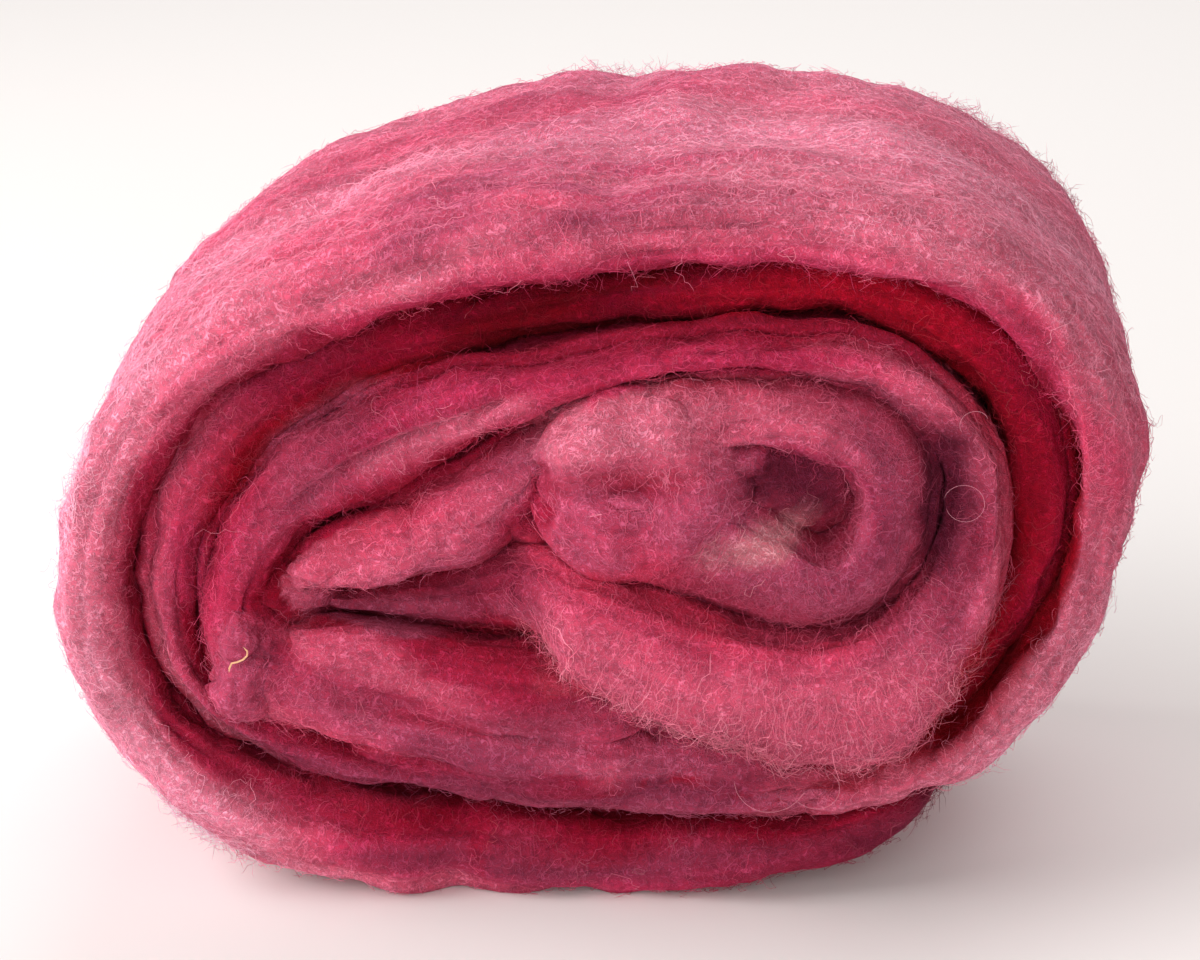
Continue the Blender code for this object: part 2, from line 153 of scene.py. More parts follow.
THIRD_TURN = table(
    Station,
    (28.4, 19.9, 5.2, 4.5),
    (19.0, 18.0, 6.6, 4.0, 3.0, -0.6),
    (9.0, 18.6, 8.6, 3.0, 3.0, -0.7),
    (-1.0, 20.2, 10.4, 2.0, 3.0, -0.7),
    (-11.0, 21.8, 11.6, 1.5, 3.0, -0.5),
    (-21.0, 22.9, 11.8, 1.0, 3.0, -0.2),
    (-29.4, 24.2, 10.4, 1.0),
    (-34.8, 27.2, 8.4, 1.5),
    (-36.4, 32.6, 7.4, 2.5),
    (-35.0, 38.4, 8.6, 2.5, 3.0, 0.0, 0.0, 0.6),
    (-30.6, 44.0, 10.4, 2.0, 3.0, 0.0, 0.0, 1.4),
    (-23.6, 49.4, 11.2, 1.5, 3.0, 0.0, 0.0, 1.8),
    (-15.4, 53.4, 10.0, 1.0, 3.0, 0.0, 0.0, 1.4),
    (-7.0, 56.8, 7.2, 0.5, 3.0, 0.0, 0.0, 0.6),
    (2.0, 59.6, 5.0, 0.0),
    (12.0, 61.0, 4.4, 0.0),
    (21.0, 60.8, 4.6, 0.0),
    (28.6, 58.4, 5.2, -0.5),
    (33.4, 53.8, 6.0, -0.5, 3.0, -0.6),
    (35.6, 47.8, 6.8, -0.5, 3.0, -0.8, 0.0, 0.0, 0.6),
    (35.6, 41.2, 7.6, -1.5, 3.0, -0.5, 0.5, 0.0, 0.3),
    (32.0, 34.8, 8.2, -3.5, 3.0, 0.0, 2.5),
)

HEART = table(
    Station,
    (26.6, 30.9, 9.0, -5.0, 3.0, 0.0, 5.0),
    (18.6, 30.0, 9.0, -5.5, 3.0, 0.0, 5.5),
    (10.0, 31.6, 9.0, -5.5, 3.0, 0.0, 4.5),
    (2.0, 34.2, 9.2, -5.0, 3.0, 0.0, 3.5),
    (-4.4, 35.4, 9.2, -4.0, 3.0, 0.0, 2.0),
    (-8.0, 34.9, 7.8, 3.0),
    (-11.0, 33.8, 6.6, 3.5),
    (-19.0, 32.2, 5.0, 4.5),
    (-26.4, 31.6, 3.8, 5.5, 3.0, 0.3),
    (-30.4, 34.0, 3.6, 5.0, 3.0, 0.3),
    (-27.0, 37.0, 4.2, 2.5, 3.0, 0.6),
    (-20.0, 39.9, 8.0, 1.5, 3.0, 0.4),
    (-13.4, 43.2, 9.6, 1.5, 3.0, 0.2),
    (-7.6, 47.4, 9.8, 2.0),
    (-3.4, 50.6, 9.4, -1.5, 3.0, 0.5),
    (0.4, 52.8, 9.0, -2.5, 3.0, 0.7),
    (7.0, 54.8, 8.6, -2.5, 3.0, 0.7),
    (14.4, 55.6, 8.4, -2.5, 3.0, 0.5, 0.0, 0.0, 3.0),
    (21.4, 54.2, 8.6, -2.0, 3.0, 0.3, 0.0, 0.0, 4.5),
    (26.6, 50.4, 8.6, -2.0, 3.0, 0.3, 0.0, 0.0, 2.0),
    (28.0, 44.9, 8.6, -2.0, 3.0, 0.3, 0.0, 0.0, 1.0),
    (25.0, 39.9, 9.6, -2.5, 3.0, 0.4, 0.0, 0.0, 1.5),
    (18.2, 38.4, 11.0, -3.0, 3.0, 0.5, 0.0, 0.0, 2.0),
    (10.0, 40.3, 10.4, -3.0, 3.0, 0.7, 0.0, 0.0, 0.5),
    (2.6, 42.8, 9.8, -3.0, 3.0, 0.7),
    (-4.8, 44.0, 8.8, -2.5, 3.0, 0.6),
)

WINDING = LOOSE_END_AND_OUTER_TURN + SECOND_TURN + THIRD_TURN + HEART

# Creases that cross the strip: their place, their depth in the outer side, and how far they draw the edge in.
Pinch = namedtuple("Pinch", "x z outer front")

PINCHES = table(
    Pinch,
    (-14.5, 6.0, 0.5, 1.2),
    (1.0, 72.0, 0.6, 0.4),
    (-6.0, 22.0, 0.0, 1.2),
    (2.0, 65.0, 0.0, 1.0),
    (-5.2, 49.4, 0.0, 1.6),
)

# ---- The dyes, painted on by hand before the strip was wound, and a dark plum for painted shade.

DYES = {
    "cream": "#D0848E",
    "shell": "#F294AE",
    "blush": "#E47C96",
    "rose": "#DC6482",
    "pink": "#DA4E72",
    "cerise": "#CC3A64",
    "raspberry": "#B42C50",
    "crimson": "#A01234",
    "scarlet": "#BE1230",
    "ruby": "#A00A22",
    "oxblood": "#7A0416",
    "mauve": "#BE5272",
    "plum": "#983A58",
    "wine": "#942C48",
    # a dark plum that is painted shade, not a dye
    "dusk": "#6A1E36",
}

# The colours at a station of the winding, counted from the loose end: on the strip's outer side, along its front
# edge and on its inner side. They are the dyes, but the darker inner sides and the second turn's top under the
# outer turn are partly painted shade, and the loose end's tip is painted shade.
PAINTING = {
    # the loose end's tip: painted shade
    0: "dusk dusk wine",
    2: "raspberry wine crimson",
    4: "cerise plum crimson",
    5: "rose cerise crimson",
    6: "blush rose raspberry",
    7: "shell shell raspberry",
    8: "shell shell raspberry",
    9: "shell blush raspberry",
    10: "shell blush raspberry",
    11: "blush blush raspberry",
    12: "rose rose raspberry",
    13: "rose blush cerise",
    14: "mauve rose cerise",
    15.5: "blush rose cerise",
    17: "blush blush cerise",
    18: "blush pink raspberry",
    19: "rose pink ruby",
    20: "blush rose ruby",
    22: "shell blush ruby",
    24: "blush rose ruby",
    26: "mauve plum crimson",
    28: "wine plum raspberry",
    30: "blush mauve crimson",
    32: "rose pink crimson",
    34: "cerise crimson ruby",
    # the second turn's top under the outer turn: dark dyes, deepened as painted shade
    35.5: "crimson crimson oxblood",
    36.5: "oxblood oxblood oxblood",
    37.5: "crimson crimson oxblood",
    38.5: "scarlet scarlet ruby",
    40: "scarlet scarlet ruby",
    41: "crimson crimson ruby",
    43: "crimson crimson ruby",
    45.5: "ruby ruby oxblood",
    46.5: "raspberry crimson crimson",
    48.5: "mauve mauve raspberry",
    50: "mauve mauve raspberry",
    51.5: "pink mauve raspberry",
    53: "rose pink raspberry",
    54: "cerise raspberry crimson",
    56: "raspberry mauve raspberry",
    58: "cerise cerise pink",
    60: "raspberry raspberry cerise",
    62: "raspberry cerise raspberry",
    63.5: "rose rose mauve",
    65: "rose rose wine",
    66: "rose mauve wine",
    68: "rose rose mauve",
    70: "rose rose pink",
    72: "rose rose pink",
    73.5: "crimson wine wine",
    75: "wine wine crimson",
    77: "wine mauve crimson",
    78: "rose rose mauve",
    80: "pink rose mauve",
    81.5: "mauve mauve raspberry",
    83: "blush rose mauve",
    85: "rose rose mauve",
    86.5: "mauve plum cerise",
    88: "mauve plum mauve",
    90: "mauve mauve mauve",
    91.5: "pink mauve mauve",
    93: "pink mauve mauve",
}

# ---- Small helpers.


def linear(colour):
    """An sRGB hex colour as linear red, green and blue."""
    value = np.array([int(colour[start : start + 2], 16) for start in (1, 3, 5)]) / 255
    return np.where(value <= 0.04045, value / 12.92, ((value + 0.055) / 1.055) ** 2.4)


def ease(value):
    """0 below 0, 1 above 1, and a smooth rise between."""
    value = np.clip(value, 0, 1)
    return value * value * (3 - 2 * value)


def ramp(value, start, end):
    """0 at `start`, 1 at `end`, which may lie below it, and a smooth rise from the one to the other."""
    return ease((value - start) / (end - start))


def unit(vectors):
    """Vectors scaled to a length of 1; one of no length stays as it is."""
    return vectors / np.maximum(np.linalg.norm(vectors, axis=-1, keepdims=True), 1e-9)


def travelled(points):
    """Distances along a row of points, from its first."""
    return np.concatenate([[0], np.cumsum(np.linalg.norm(np.diff(points, axis=0), axis=-1))])


def across_to(ahead):
    """Directions in the drawing, turned a quarter turn to the left."""
    return np.stack([-ahead[:, 1], ahead[:, 0]], axis=1)


LATTICE = (97, 89)  # random values before the patches repeat


def patchy(along, across, long, wide, seed):
    """Random patches from -1 to 1: a lattice of random values, `long` by `wide` millimetres, smoothly mixed."""
    lattice = np.random.default_rng(seed).uniform(-1, 1, LATTICE)
    along, across = np.broadcast_arrays(along / long, across / wide)
    row, column = np.floor(along).astype(int), np.floor(across).astype(int)
    up, over = ease(along - row), ease(across - column)

    def corner(i, j):
        return lattice[(row + i) % lattice.shape[0], (column + j) % lattice.shape[1]]

    near = corner(0, 0) * (1 - up) + corner(1, 0) * up
    far = corner(0, 1) * (1 - up) + corner(1, 1) * up
    return near * (1 - over) + far * over


# A layer of random patches: their size along the strip and across it, and how much they add or take at most.
Layer = namedtuple("Layer", "long wide amount seed")


def mottled(layers, along, across):
    """The sum of some layers of random patches."""
    return sum(layer.amount * patchy(along, across, layer.long, layer.wide, layer.seed) for layer in layers)


def add_object(name, data):
    """A new object, linked into the scene."""
    thing = bpy.data.objects.new(name, data)
    bpy.context.scene.collection.objects.link(thing)
    return thing


def make_piece(name, vertices, triangles, quads, material, dye, uv=None, normals=None):
    """A mesh object from whole arrays, in metres: faces, a colour on each point, dye with painted shade and light,
    and, if given, a UV map and the normals that light falls on."""
    mesh = bpy.data.meshes.new(name)
    mesh.vertices.add(len(vertices))
    mesh.vertices.foreach_set("co", np.ascontiguousarray(vertices, dtype=np.float32).ravel())
    corners = np.concatenate([triangles.ravel(), quads.ravel()]).astype(np.int32)
    sizes = np.concatenate([np.full(len(triangles), 3), np.full(len(quads), 4)]).astype(np.int32)
    mesh.loops.add(len(corners))
    mesh.loops.foreach_set("vertex_index", corners)
    mesh.polygons.add(len(sizes))
    mesh.polygons.foreach_set("loop_start", np.concatenate([[0], np.cumsum(sizes)[:-1]]).astype(np.int32))
    mesh.polygons.foreach_set("loop_total", sizes)
    mesh.update(calc_edges=True)
    mesh.validate()
    colours = mesh.color_attributes.new("dye", "FLOAT_COLOR", "POINT")
    rgba = np.concatenate([dye, np.ones((len(dye), 1))], axis=1).astype(np.float32)
    colours.data.foreach_set("color", rgba.ravel())
    if uv is not None:
        layer = mesh.uv_layers.new(name="strip")
        layer.data.foreach_set("uv", uv.astype(np.float32).ravel())
    mesh.shade_smooth()
    if normals is not None:
        mesh.normals_split_custom_set_from_vertices(normals)
    mesh.materials.append(material)
    piece = add_object(name, mesh)
    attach(piece, ROOT)
    return piece


# ---- The strip's surface.


def spline(knots, values, at):
    """A natural cubic spline through values at knots, read at the positions `at`."""
    gap = np.diff(knots)
    count = len(knots)
    system = np.eye(count)
    right_hand = np.zeros((count, values.shape[1]))
    slopes = np.diff(values, axis=0) / gap[:, None]
    for row in range(1, count - 1):
        system[row, row - 1 : row + 2] = gap[row - 1], 2 * (gap[row - 1] + gap[row]), gap[row]
        right_hand[row] = 6 * (slopes[row] - slopes[row - 1])
    bend = np.linalg.solve(system, right_hand)
    span = np.clip(np.searchsorted(knots, at) - 1, 0, count - 2)
    wide = gap[span][:, None]
    low = (at - knots[span])[:, None]
    high = wide - low
    return (
        bend[span] * high**3 / (6 * wide)
        + bend[span + 1] * low**3 / (6 * wide)
        + (values[span] / wide - bend[span] * wide / 6) * high
        + (values[span + 1] / wide - bend[span + 1] * wide / 6) * low
    )


def blur(values, reach):
    """Values at the fine points, averaged with a bell curve `reach` millimetres wide."""
    half = int(np.ceil(2 * reach / FINE_STEP))
    bell = np.exp(-0.5 * (np.arange(-half, half + 1) * FINE_STEP / reach) ** 2)
    padded = np.pad(values, half, mode="edge")
    return np.convolve(padded, bell / bell.sum(), mode="valid")


def winding_line():
    """The winding at fine, even steps: points, unit directions, distances and the stations' other columns."""
    rows = np.array(WINDING)
    places = rows[:, :2]
    knots = travelled(places)
    dense = np.linspace(0.0, knots[-1], SPLINE_POINTS)
    along = travelled(spline(knots, places, dense))
    distance = np.arange(0.0, along[-1], FINE_STEP)
    at = np.interp(distance, along, dense)
    points = spline(knots, places, at)
    ahead = unit(np.gradient(points, FINE_STEP, axis=0))
    columns = {
        name: blur(np.interp(at, knots, column), COLUMN_BLUR)
        for name, column in zip(Station._fields[2:], rows[:, 2:].T)
    }
    columns["station"] = np.interp(at, knots, np.arange(len(knots)))
    for name in ("outer", "front"):
        columns["pinch_" + name] = np.zeros(len(distance))
    for pinch in PINCHES:
        middle = distance[np.hypot(points[:, 0] - pinch.x, points[:, 1] - pinch.z).argmin()]
        trough = np.exp(-(((distance - middle) / PINCH_WIDTH) ** 2))
        columns["pinch_outer"] += pinch.outer * trough
        columns["pinch_front"] += pinch.front * trough
    return points, ahead, distance, columns


def narrowest(values, reach):
    """The least value within `reach` millimetres on either side of each fine point."""
    half = int(np.ceil(reach / FINE_STEP))
    padded = np.pad(values, half, mode="edge")
    return np.min([padded[start : start + len(values)] for start in range(2 * half + 1)], axis=0)


def room_between_turns(points, ahead, loft):
    """Half-thicknesses on the outer and inner side, and how free the outer side is (0 to 1).

    Along each fine point's normal the nearest other turn is found. The room up to it, squared to that turn where
    the two lean, is shared between them by their lofts, less half the parting each."""
    turning = np.gradient(np.unwrap(np.arctan2(ahead[:, 1], ahead[:, 0])), FINE_STEP)
    offset = points[None, :, :] - points[:, None, :]
    along = np.einsum("ijk,ik->ij", offset, ahead)
    across = np.einsum("ijk,ik->ij", offset, across_to(ahead))
    crossing = along[:, :-1] * along[:, 1:] <= 0
    order = np.arange(len(points))
    apart = np.abs(order[None, :-1] - order[:, None]) > SAME_TURN
    part = along[:, :-1] / (along[:, :-1] - along[:, 1:] + 1e-12)
    reach = across[:, :-1] + part * (across[:, 1:] - across[:, :-1])
    halves = []
    for side in (-1.0, 1.0):
        far = np.where(crossing & apart & (reach * side > 0), reach * side, np.inf)
        nearest = far.argmin(axis=1)
        gap = far.min(axis=1) * np.abs(np.sum(ahead * ahead[nearest], axis=1))
        packed = np.isfinite(gap)
        share = loft / (loft + loft[nearest])
        room = np.minimum(np.where(packed, gap, 0.0) * share - PARTING / 2, PACKED_SHARE * loft)
        half = np.where(packed, room, FREE_SHARE * loft)
        bend_limit = TIGHT_BEND_SHARE / np.maximum(turning * side, 1e-6)
        half = np.maximum(np.minimum(half, narrowest(bend_limit, BEND_REACH)), THINNEST)
        halves.append(np.minimum(blur(half, HALF_BLUR), half))
    inner, outer = halves
    return outer, inner, blur(1.0 - packed, FREE_BLUR)


def unevenness(distance, depth, seed):
    """A soft lumpiness from -1 to 1: crossed waves of unlike lengths along the strip and over its width."""
    dice = np.random.default_rng(seed)
    total = np.zeros(np.broadcast(distance, depth).shape)
    for length in WAVE_LENGTHS:
        phase, lean, shift = dice.uniform(0, 2 * np.pi, 3)
        sway = WAVE_SWAY * np.sin(depth / SWAY_DEPTH + lean)
        total = total + np.sin(2 * np.pi * distance / length + phase + sway + shift)
    return total / len(WAVE_LENGTHS)


SECTION_STEP = 1.0  # from one section of the fine grid to the next
ROUNDING_STEPS = 10  # columns round each corner of the front edge
FRONT_ZONE = 14.0  # the front stretch that shows, with fine columns
END_CORNER = 7.0  # how far the front corner is rounded off at the strip's two ends
FRONT_STEP, BEHIND_STEP = 0.75, 2.4  # from one column to the next in that stretch, and behind it
CORNER_POWER = 0.8  # below 1 a corner is boxier than a circle's

# A surface with a ring of points for each section: distances along it, arcs round it (0 at the front), the
# painted stations, how free its sides are, and the grid of points and normals.
Strip = namedtuple("Strip", "distance arc station free grid")


def section_levels():
    """How far the points down a section's side lie behind its front tip and before its back tip, and how full
    the section is there, from 0 at a tip to 1 on the flat.

    A corner is a quarter of a flattened circle: depth 1 - cosine, fullness sine to the power CORNER_POWER."""
    corner = np.linspace(0, np.pi / 2, ROUNDING_STEPS + 1)[1:]
    back_corner = np.linspace(0, np.pi / 2, ROUNDING_STEPS // 2 + 1)[:0:-1]
    flat = np.arange(EDGE_ROUNDING, FRONT_ZONE, FRONT_STEP)[1:]
    behind = np.arange(flat[-1], STRIP_WIDTH - EDGE_ROUNDING, BEHIND_STEP)[1:]
    front_depth = (1 - np.cos(corner)) * EDGE_ROUNDING
    back_depth = STRIP_WIDTH - (1 - np.cos(back_corner)) * EDGE_ROUNDING
    depth = np.concatenate([front_depth, flat, behind, back_depth])
    level = np.ones(len(flat) + len(behind))
    fullness = np.concatenate([np.sin(corner) ** CORNER_POWER, level, np.sin(back_corner) ** CORNER_POWER])
    return depth / STRIP_WIDTH, fullness


# How ragged the flopping edge is: long tongues and short ones.
RAGGED = (Layer(6.0, 1.0, 0.3, 11), Layer(2.6, 1.0, 0.2, 12))
TIP_FLOP = 0.3  # the share of a flop that the front tip follows


def smooth_strip():
    """The strip without its fine relief: a ring of points for each section, from the back tip along the inner
    side to the front tip and back along the outer side, with the first point again at the end."""
    fine_points, fine_ahead, fine_distance, fine = winding_line()
    fine["outer"], fine["inner"], fine["free"] = room_between_turns(fine_points, fine_ahead, fine["loft"])
    distance = np.linspace(0, fine_distance[-1], int(fine_distance[-1] / SECTION_STEP))
    points, ahead = (
        np.stack([np.interp(distance, fine_distance, column) for column in values.T], axis=1)
        for values in (fine_points, fine_ahead)
    )
    outward = across_to(unit(ahead))
    at = {name: np.interp(distance, fine_distance, values)[:, None] for name, values in fine.items()}

    share, fullness = section_levels()
    travel = distance[:, None]
    front = at["front"] + at["pinch_front"] + FRONT_WANDER / 2 * unevenness(travel, 0.0, FRONT_SEED)
    back = STRIP_WIDTH - at["back"] - BACK_WANDER / 2 * (1 + unevenness(travel, 0.0, BACK_SEED))
    for from_end in (travel, travel[-1] - travel):
        front = front + END_CORNER * ease(1 - from_end / END_CORNER) ** 2
    depth = front + share * (back - front)
    to_end = np.clip(np.minimum(travel, travel[-1] - travel) / END_TAPER, 0, 1)
    taper = END_THICKNESS + (1 - END_THICKNESS) * np.sqrt(1 - (1 - to_end) ** 2)
    swelling = CROWN * 4 * share * (1 - share) + LUMPS / 2 * unevenness(travel, depth, LUMPS_SEED)
    flop = at["flop"] * (1 + mottled(RAGGED, travel, 0.0)) * ease(1 - (depth - front) / FLOP_DEPTH)
    hollow = at["hollow"] * ease(1 - (depth - front) / HOLLOW_DEPTH)
    outer = np.maximum(at["outer"] * taper + at["free"] * swelling - at["pinch_outer"], THINNEST)
    inner = np.maximum(at["inner"] * taper - hollow, THINNEST)

    lean = at["lean"] * (share < 0.5)
    to_inner, to_outer = np.maximum(lean, 0), np.maximum(-lean, 0)
    tip = (TIP_FLOP * at["flop"] + to_outer * outer - to_inner * inner)[:, :1]
    back_tip = np.zeros_like(tip)
    rest = 1 - fullness
    across_outer = outer * (fullness + to_outer * rest) - to_inner * inner * rest
    across_outer = across_outer + flop * (1 - (1 - TIP_FLOP) * rest)
    across_inner = TIP_FLOP * flop * rest - inner * (fullness + to_inner * rest) + to_outer * outer * rest
    across = np.hstack([back_tip, across_inner[:, ::-1], tip, across_outer, back_tip])
    depth = np.hstack([back, depth[:, ::-1], front + at["groove"], depth, back])
    x = points[:, :1] + outward[:, :1] * across
    z = np.maximum(points[:, 1:] + outward[:, 1:] * across - SINK, 0.0)
    grid = np.stack([x, depth, z], axis=-1)
    arc = np.concatenate([[0], np.cumsum(np.linalg.norm(np.diff(grid, axis=1), axis=-1).mean(axis=0))])
    arc -= arc[share.size + 1]
    return Strip(distance, arc, at["station"][:, 0], at["free"][:, 0], grid)


def facing(grid):
    """Unit normals of a grid: the cross product of its two directions, alike on both sides of the seam."""
    along = np.gradient(grid, axis=0)
    round_it = np.gradient(np.concatenate([grid[:, -2:-1], grid, grid[:, 1:2]], axis=1), axis=1)[:, 1:-1]
    return unit(np.cross(along, round_it))


def with_normals(grid):
    """A grid whose points each have their normal beside them."""
    return np.concatenate([grid, facing(grid)], axis=-1)


# Soft relief of the loose wool.
CLUMPS = table(
    Layer,
    (11.0, 4.5, 0.75, 21),
    (4.4, 2.6, 0.50, 22),
    (2.2, 1.7, 0.26, 23),
)
CREASES = Layer(26.0, 2.6, 0.75, 24)  # narrow troughs along the strip, where its fibres part
CREASE_SHARE = 0.22  # of the height of their patch field, on either side of its zero lines
FRONT_RELIEF, BACK_RELIEF = (11.0, 7.0), (8.0, 4.0)  # how far round from a packed turn's edge it ends, and fades


def drawing_origin(strip):
    """Where the drawing's origin lies in the frame: the strip's own box is set over its solid's."""
    lowest, highest = (np.array(corner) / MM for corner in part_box(SOLID))
    origin = (lowest + highest) / 2 - (strip.grid.min(axis=(0, 1)) + strip.grid.max(axis=(0, 1))) / 2
    origin[2] = 0.0
    return origin


def place_and_roughen(strip):
    """The strip moved to where its solid lies, with its clumps and creases.

    The relief is random patches of three sizes, less a narrow trough along the zero lines of a stretched patch
    field. It fades out where two turns press together, and the lowest points are cut level with the floor."""
    grid = strip.grid + ORIGIN
    travel, arc = strip.distance[:, None], strip.arc[None, :]
    field = patchy(travel, arc, CREASES.long, CREASES.wide, CREASES.seed)
    relief = mottled(CLUMPS, travel, arc) - CREASES.amount * ease(1 - np.abs(field) / CREASE_SHARE)
    from_front, from_back = from_edges(strip)
    near_edges = ramp(from_front, *FRONT_RELIEF) + ramp(from_back, *BACK_RELIEF)
    shown = np.maximum(near_edges, strip.free[:, None] * (arc > 0))
    grid = grid + facing(grid) * (relief * shown)[..., None]
    grid[:, -1] = grid[:, 0]
    grid[..., 2] = np.maximum(grid[..., 2], 0.0)
    return strip._replace(grid=with_normals(grid))


def from_edges(strip):
    """How far round the section each column lies from the front tip, and from the back tip."""
    from_back = np.where(strip.arc > 0, strip.arc[-1] - strip.arc, strip.arc - strip.arc[0])
    return np.abs(strip.arc)[None, :], from_back[None, :]


def on_strip(strip, distance, arc):
    """Points and normals at distances along the strip and arcs round it, mixed from the four nearest points."""
    row = np.interp(distance, strip.distance, np.arange(len(strip.distance)))
    column = np.interp(arc, strip.arc, np.arange(len(strip.arc)))
    low_row = np.minimum(row.astype(int), len(strip.distance) - 2)
    low_column = np.minimum(column.astype(int), len(strip.arc) - 2)
    up, over = (row - low_row)[..., None], (column - low_column)[..., None]
    near = strip.grid[low_row, low_column] * (1 - up) + strip.grid[low_row + 1, low_column] * up
    far = strip.grid[low_row, low_column + 1] * (1 - up) + strip.grid[low_row + 1, low_column + 1] * up
    mixed = near * (1 - over) + far * over
    return mixed[..., :3], unit(mixed[..., 3:])


EDGE_TO_FACE = 3.8  # how far round from the front tip the edge's dye gives way to the outer side's
EDGE_TO_INNER, INNER_STARTS = 4.2, 0.8  # and to the inner side's, which starts a little before the tip and is partly painted shade
FURROW_STARTS, FURROW_ENDS = 1.8, 6.0  # the stretch round from the front tip over which a packed side darkens, as painted shade of the furrow
# the tint of that painted shade, times the dye
FURROW_SHADE_TINT = np.array([0.70, 0.38, 0.44])
DYE_SHIFTS = (Layer(14.0, 3.0, 0.9, 31), Layer(5.0, 2.0, 0.5, 32))  # how far along the dye is read, in stations
DYE_WANDER = (Layer(9.0, 3.0, 1.2, 33),)  # how far round from its place the dye is read
TONES = (Layer(30.0, 2.4, 0.12, 34), Layer(7.0, 2.2, 0.12, 35))  # streaks, lighter and darker
TONE_BEND = (Layer(12.0, 6.0, 2.0, 36),)  # how far the streaks bend


def laid_over(colour, dye, weight):
    """The colour with a share of a dye, a painted shade or a painted light laid over it."""
    weight = weight[..., None]
    return colour * (1 - weight) + linear(DYES[dye]) * weight


# A patch of another colour on the front, a dye or, where its row says so, painted shade or painted light: its
# middle and half sizes in the drawing, how far it is turned (degrees, left end down) and how much of it shows.
Patch = namedtuple("Patch", "x z wide tall turn dye strength")

PATCHES = table(
    Patch,
    (15.0, 42.2, 5.0, 2.0, 20, "cream", 0.9),
    # painted shade in the heart's eye, over the lump that floors it
    (18.8, 48.4, 5.8, 3.8, -15, "dusk", 0.8),
    # painted shade in the valley on the right of the heart
    (33.0, 46.5, 2.8, 7.5, -4, "dusk", 0.95),
    # painted shade along the crease across the heart
    (3.0, 48.4, 8.0, 1.4, 5, "crimson", 0.55),
    # painted light on the heart's upper lobe, which faces up
    (2.0, 54.0, 9.0, 2.4, 12, "blush", 0.5),
    # painted shade in the valley under the ridge on the left, above the fold
    (-17.6, 46.6, 14.0, 1.6, 26, "crimson", 0.85),
    # painted light along the ridge on the left, above the fold
    (-16.0, 51.4, 11.0, 1.6, 25, "blush", 0.6),
    (-28.0, 50.4, 7.0, 2.6, 40, "mauve", 0.5),
    (-9.1, 32.7, 2.6, 1.3, 0, "mauve", 0.6),
    (0.5, 15.0, 2.0, 1.2, 0, "rose", 0.5),
    (-36.0, 26.0, 3.2, 6.4, 0, "mauve", 0.7),
    (-12.8, 7.0, 1.3, 5.0, 0, "crimson", 0.7),
    # painted light along the upper of the two ridges at the lower left
    (-23.0, 26.0, 10.0, 1.1, -17, "rose", 0.6),
    (-14.0, 17.0, 9.0, 2.0, -8, "plum", 0.5),
    # painted shade in the crease between the two ridges at the lower left
    (-17.5, 21.0, 11.0, 0.8, -12, "crimson", 0.4),
    (-1.5, 41.0, 4.5, 2.6, 0, "mauve", 0.6),
    (-20.0, 31.6, 7.0, 1.6, 0, "mauve", 0.6),
    # painted shade down the right edge of the band over the heart
    (36.6, 43.4, 1.6, 5.0, -6, "wine", 0.8),
    # the red of the band under the right lobe, deepened by painted shade
    (37.2, 30.2, 6.0, 2.4, 60, "ruby", 0.95),
    (-32.4, 25.4, 0.9, 4.6, 8, "wine", 0.7),
    (-41.6, 36.5, 1.8, 7.0, 4, "cerise", 0.6),
)


# A band of another dye along the outside of the roll: how far round from the front tip its middle lies, its half
# width and how much of it shows.
Band = namedtuple("Band", "round_it wide dye strength")

BANDS = table(
    Band,
    (25.0, 7.0, "shell", 0.55),
    (38.0, 4.5, "pink", 0.3),
    (50.0, 6.0, "shell", 0.4),
)
BAND_WANDER = (Layer(25.0, 1.0, 3.0, 37),)


def banded(colour, distance, arc, free):
    """The colour with the outside's bands, each a bell curve across the strip that wanders a little."""
    place = arc + mottled(BAND_WANDER, distance, 0.0)
    for band in BANDS:
        bell = np.exp(-(((place - band.round_it) / band.wide) ** 2))
        colour = laid_over(colour, band.dye, band.strength * free * bell)
    return colour


PATCH_DEPTH, PATCH_FADES = 9.0, 5.0  # how far back from the front a patch reaches, and where it starts to fade
PATCH_RIM = (0.5, 1.3)  # the stretch over which it fades out sideways, in half sizes
PATCH_RAGGED, PATCH_GRAIN, PATCH_SEED = 0.25, 2.5, 60


def patched(strip, colour, distance, arc):
    """The colour with the front's patches of dye, painted shade and painted light: each fades out over its uneven
    rim.
    """
    points = on_strip(strip, distance, arc)[0] - ORIGIN
    near_front = ramp(points[..., 1], PATCH_DEPTH, PATCH_FADES)
    for seed, patch in enumerate(PATCHES, PATCH_SEED):
        turn, x, z = np.radians(patch.turn), points[..., 0] - patch.x, points[..., 2] - patch.z
        long, high = x * np.cos(turn) + z * np.sin(turn), z * np.cos(turn) - x * np.sin(turn)
        off = np.hypot(long / patch.wide, high / patch.tall)
        off = off + PATCH_RAGGED * patchy(points[..., 0], points[..., 2], PATCH_GRAIN, PATCH_GRAIN, seed)
        colour = laid_over(colour, patch.dye, patch.strength * near_front * ramp(off, *PATCH_RIM[::-1]))
    return colour


FRONT_REACH = 7.0  # how far round from the front tip the wool's front goes
NEAREST_BATCH = 100  # coordinates that are compared with the whole front at a time


def nearest_on_wool(points):
    """Distances and arcs of the points of the wool strip's front that lie nearest to the given points."""
    front = np.abs(WOOL.arc) < FRONT_REACH
    places = WOOL.grid[:, front, :3].reshape(-1, 3)
    batches = np.array_split(points.reshape(-1, 3), 1 + points.size // NEAREST_BATCH)
    nearest = [((places - batch[:, None]) ** 2).sum(axis=-1).argmin(axis=1) for batch in batches]
    row, column = np.divmod(np.concatenate(nearest).reshape(points.shape[:-1]), front.sum())
    return WOOL.distance[row], WOOL.arc[front][column]


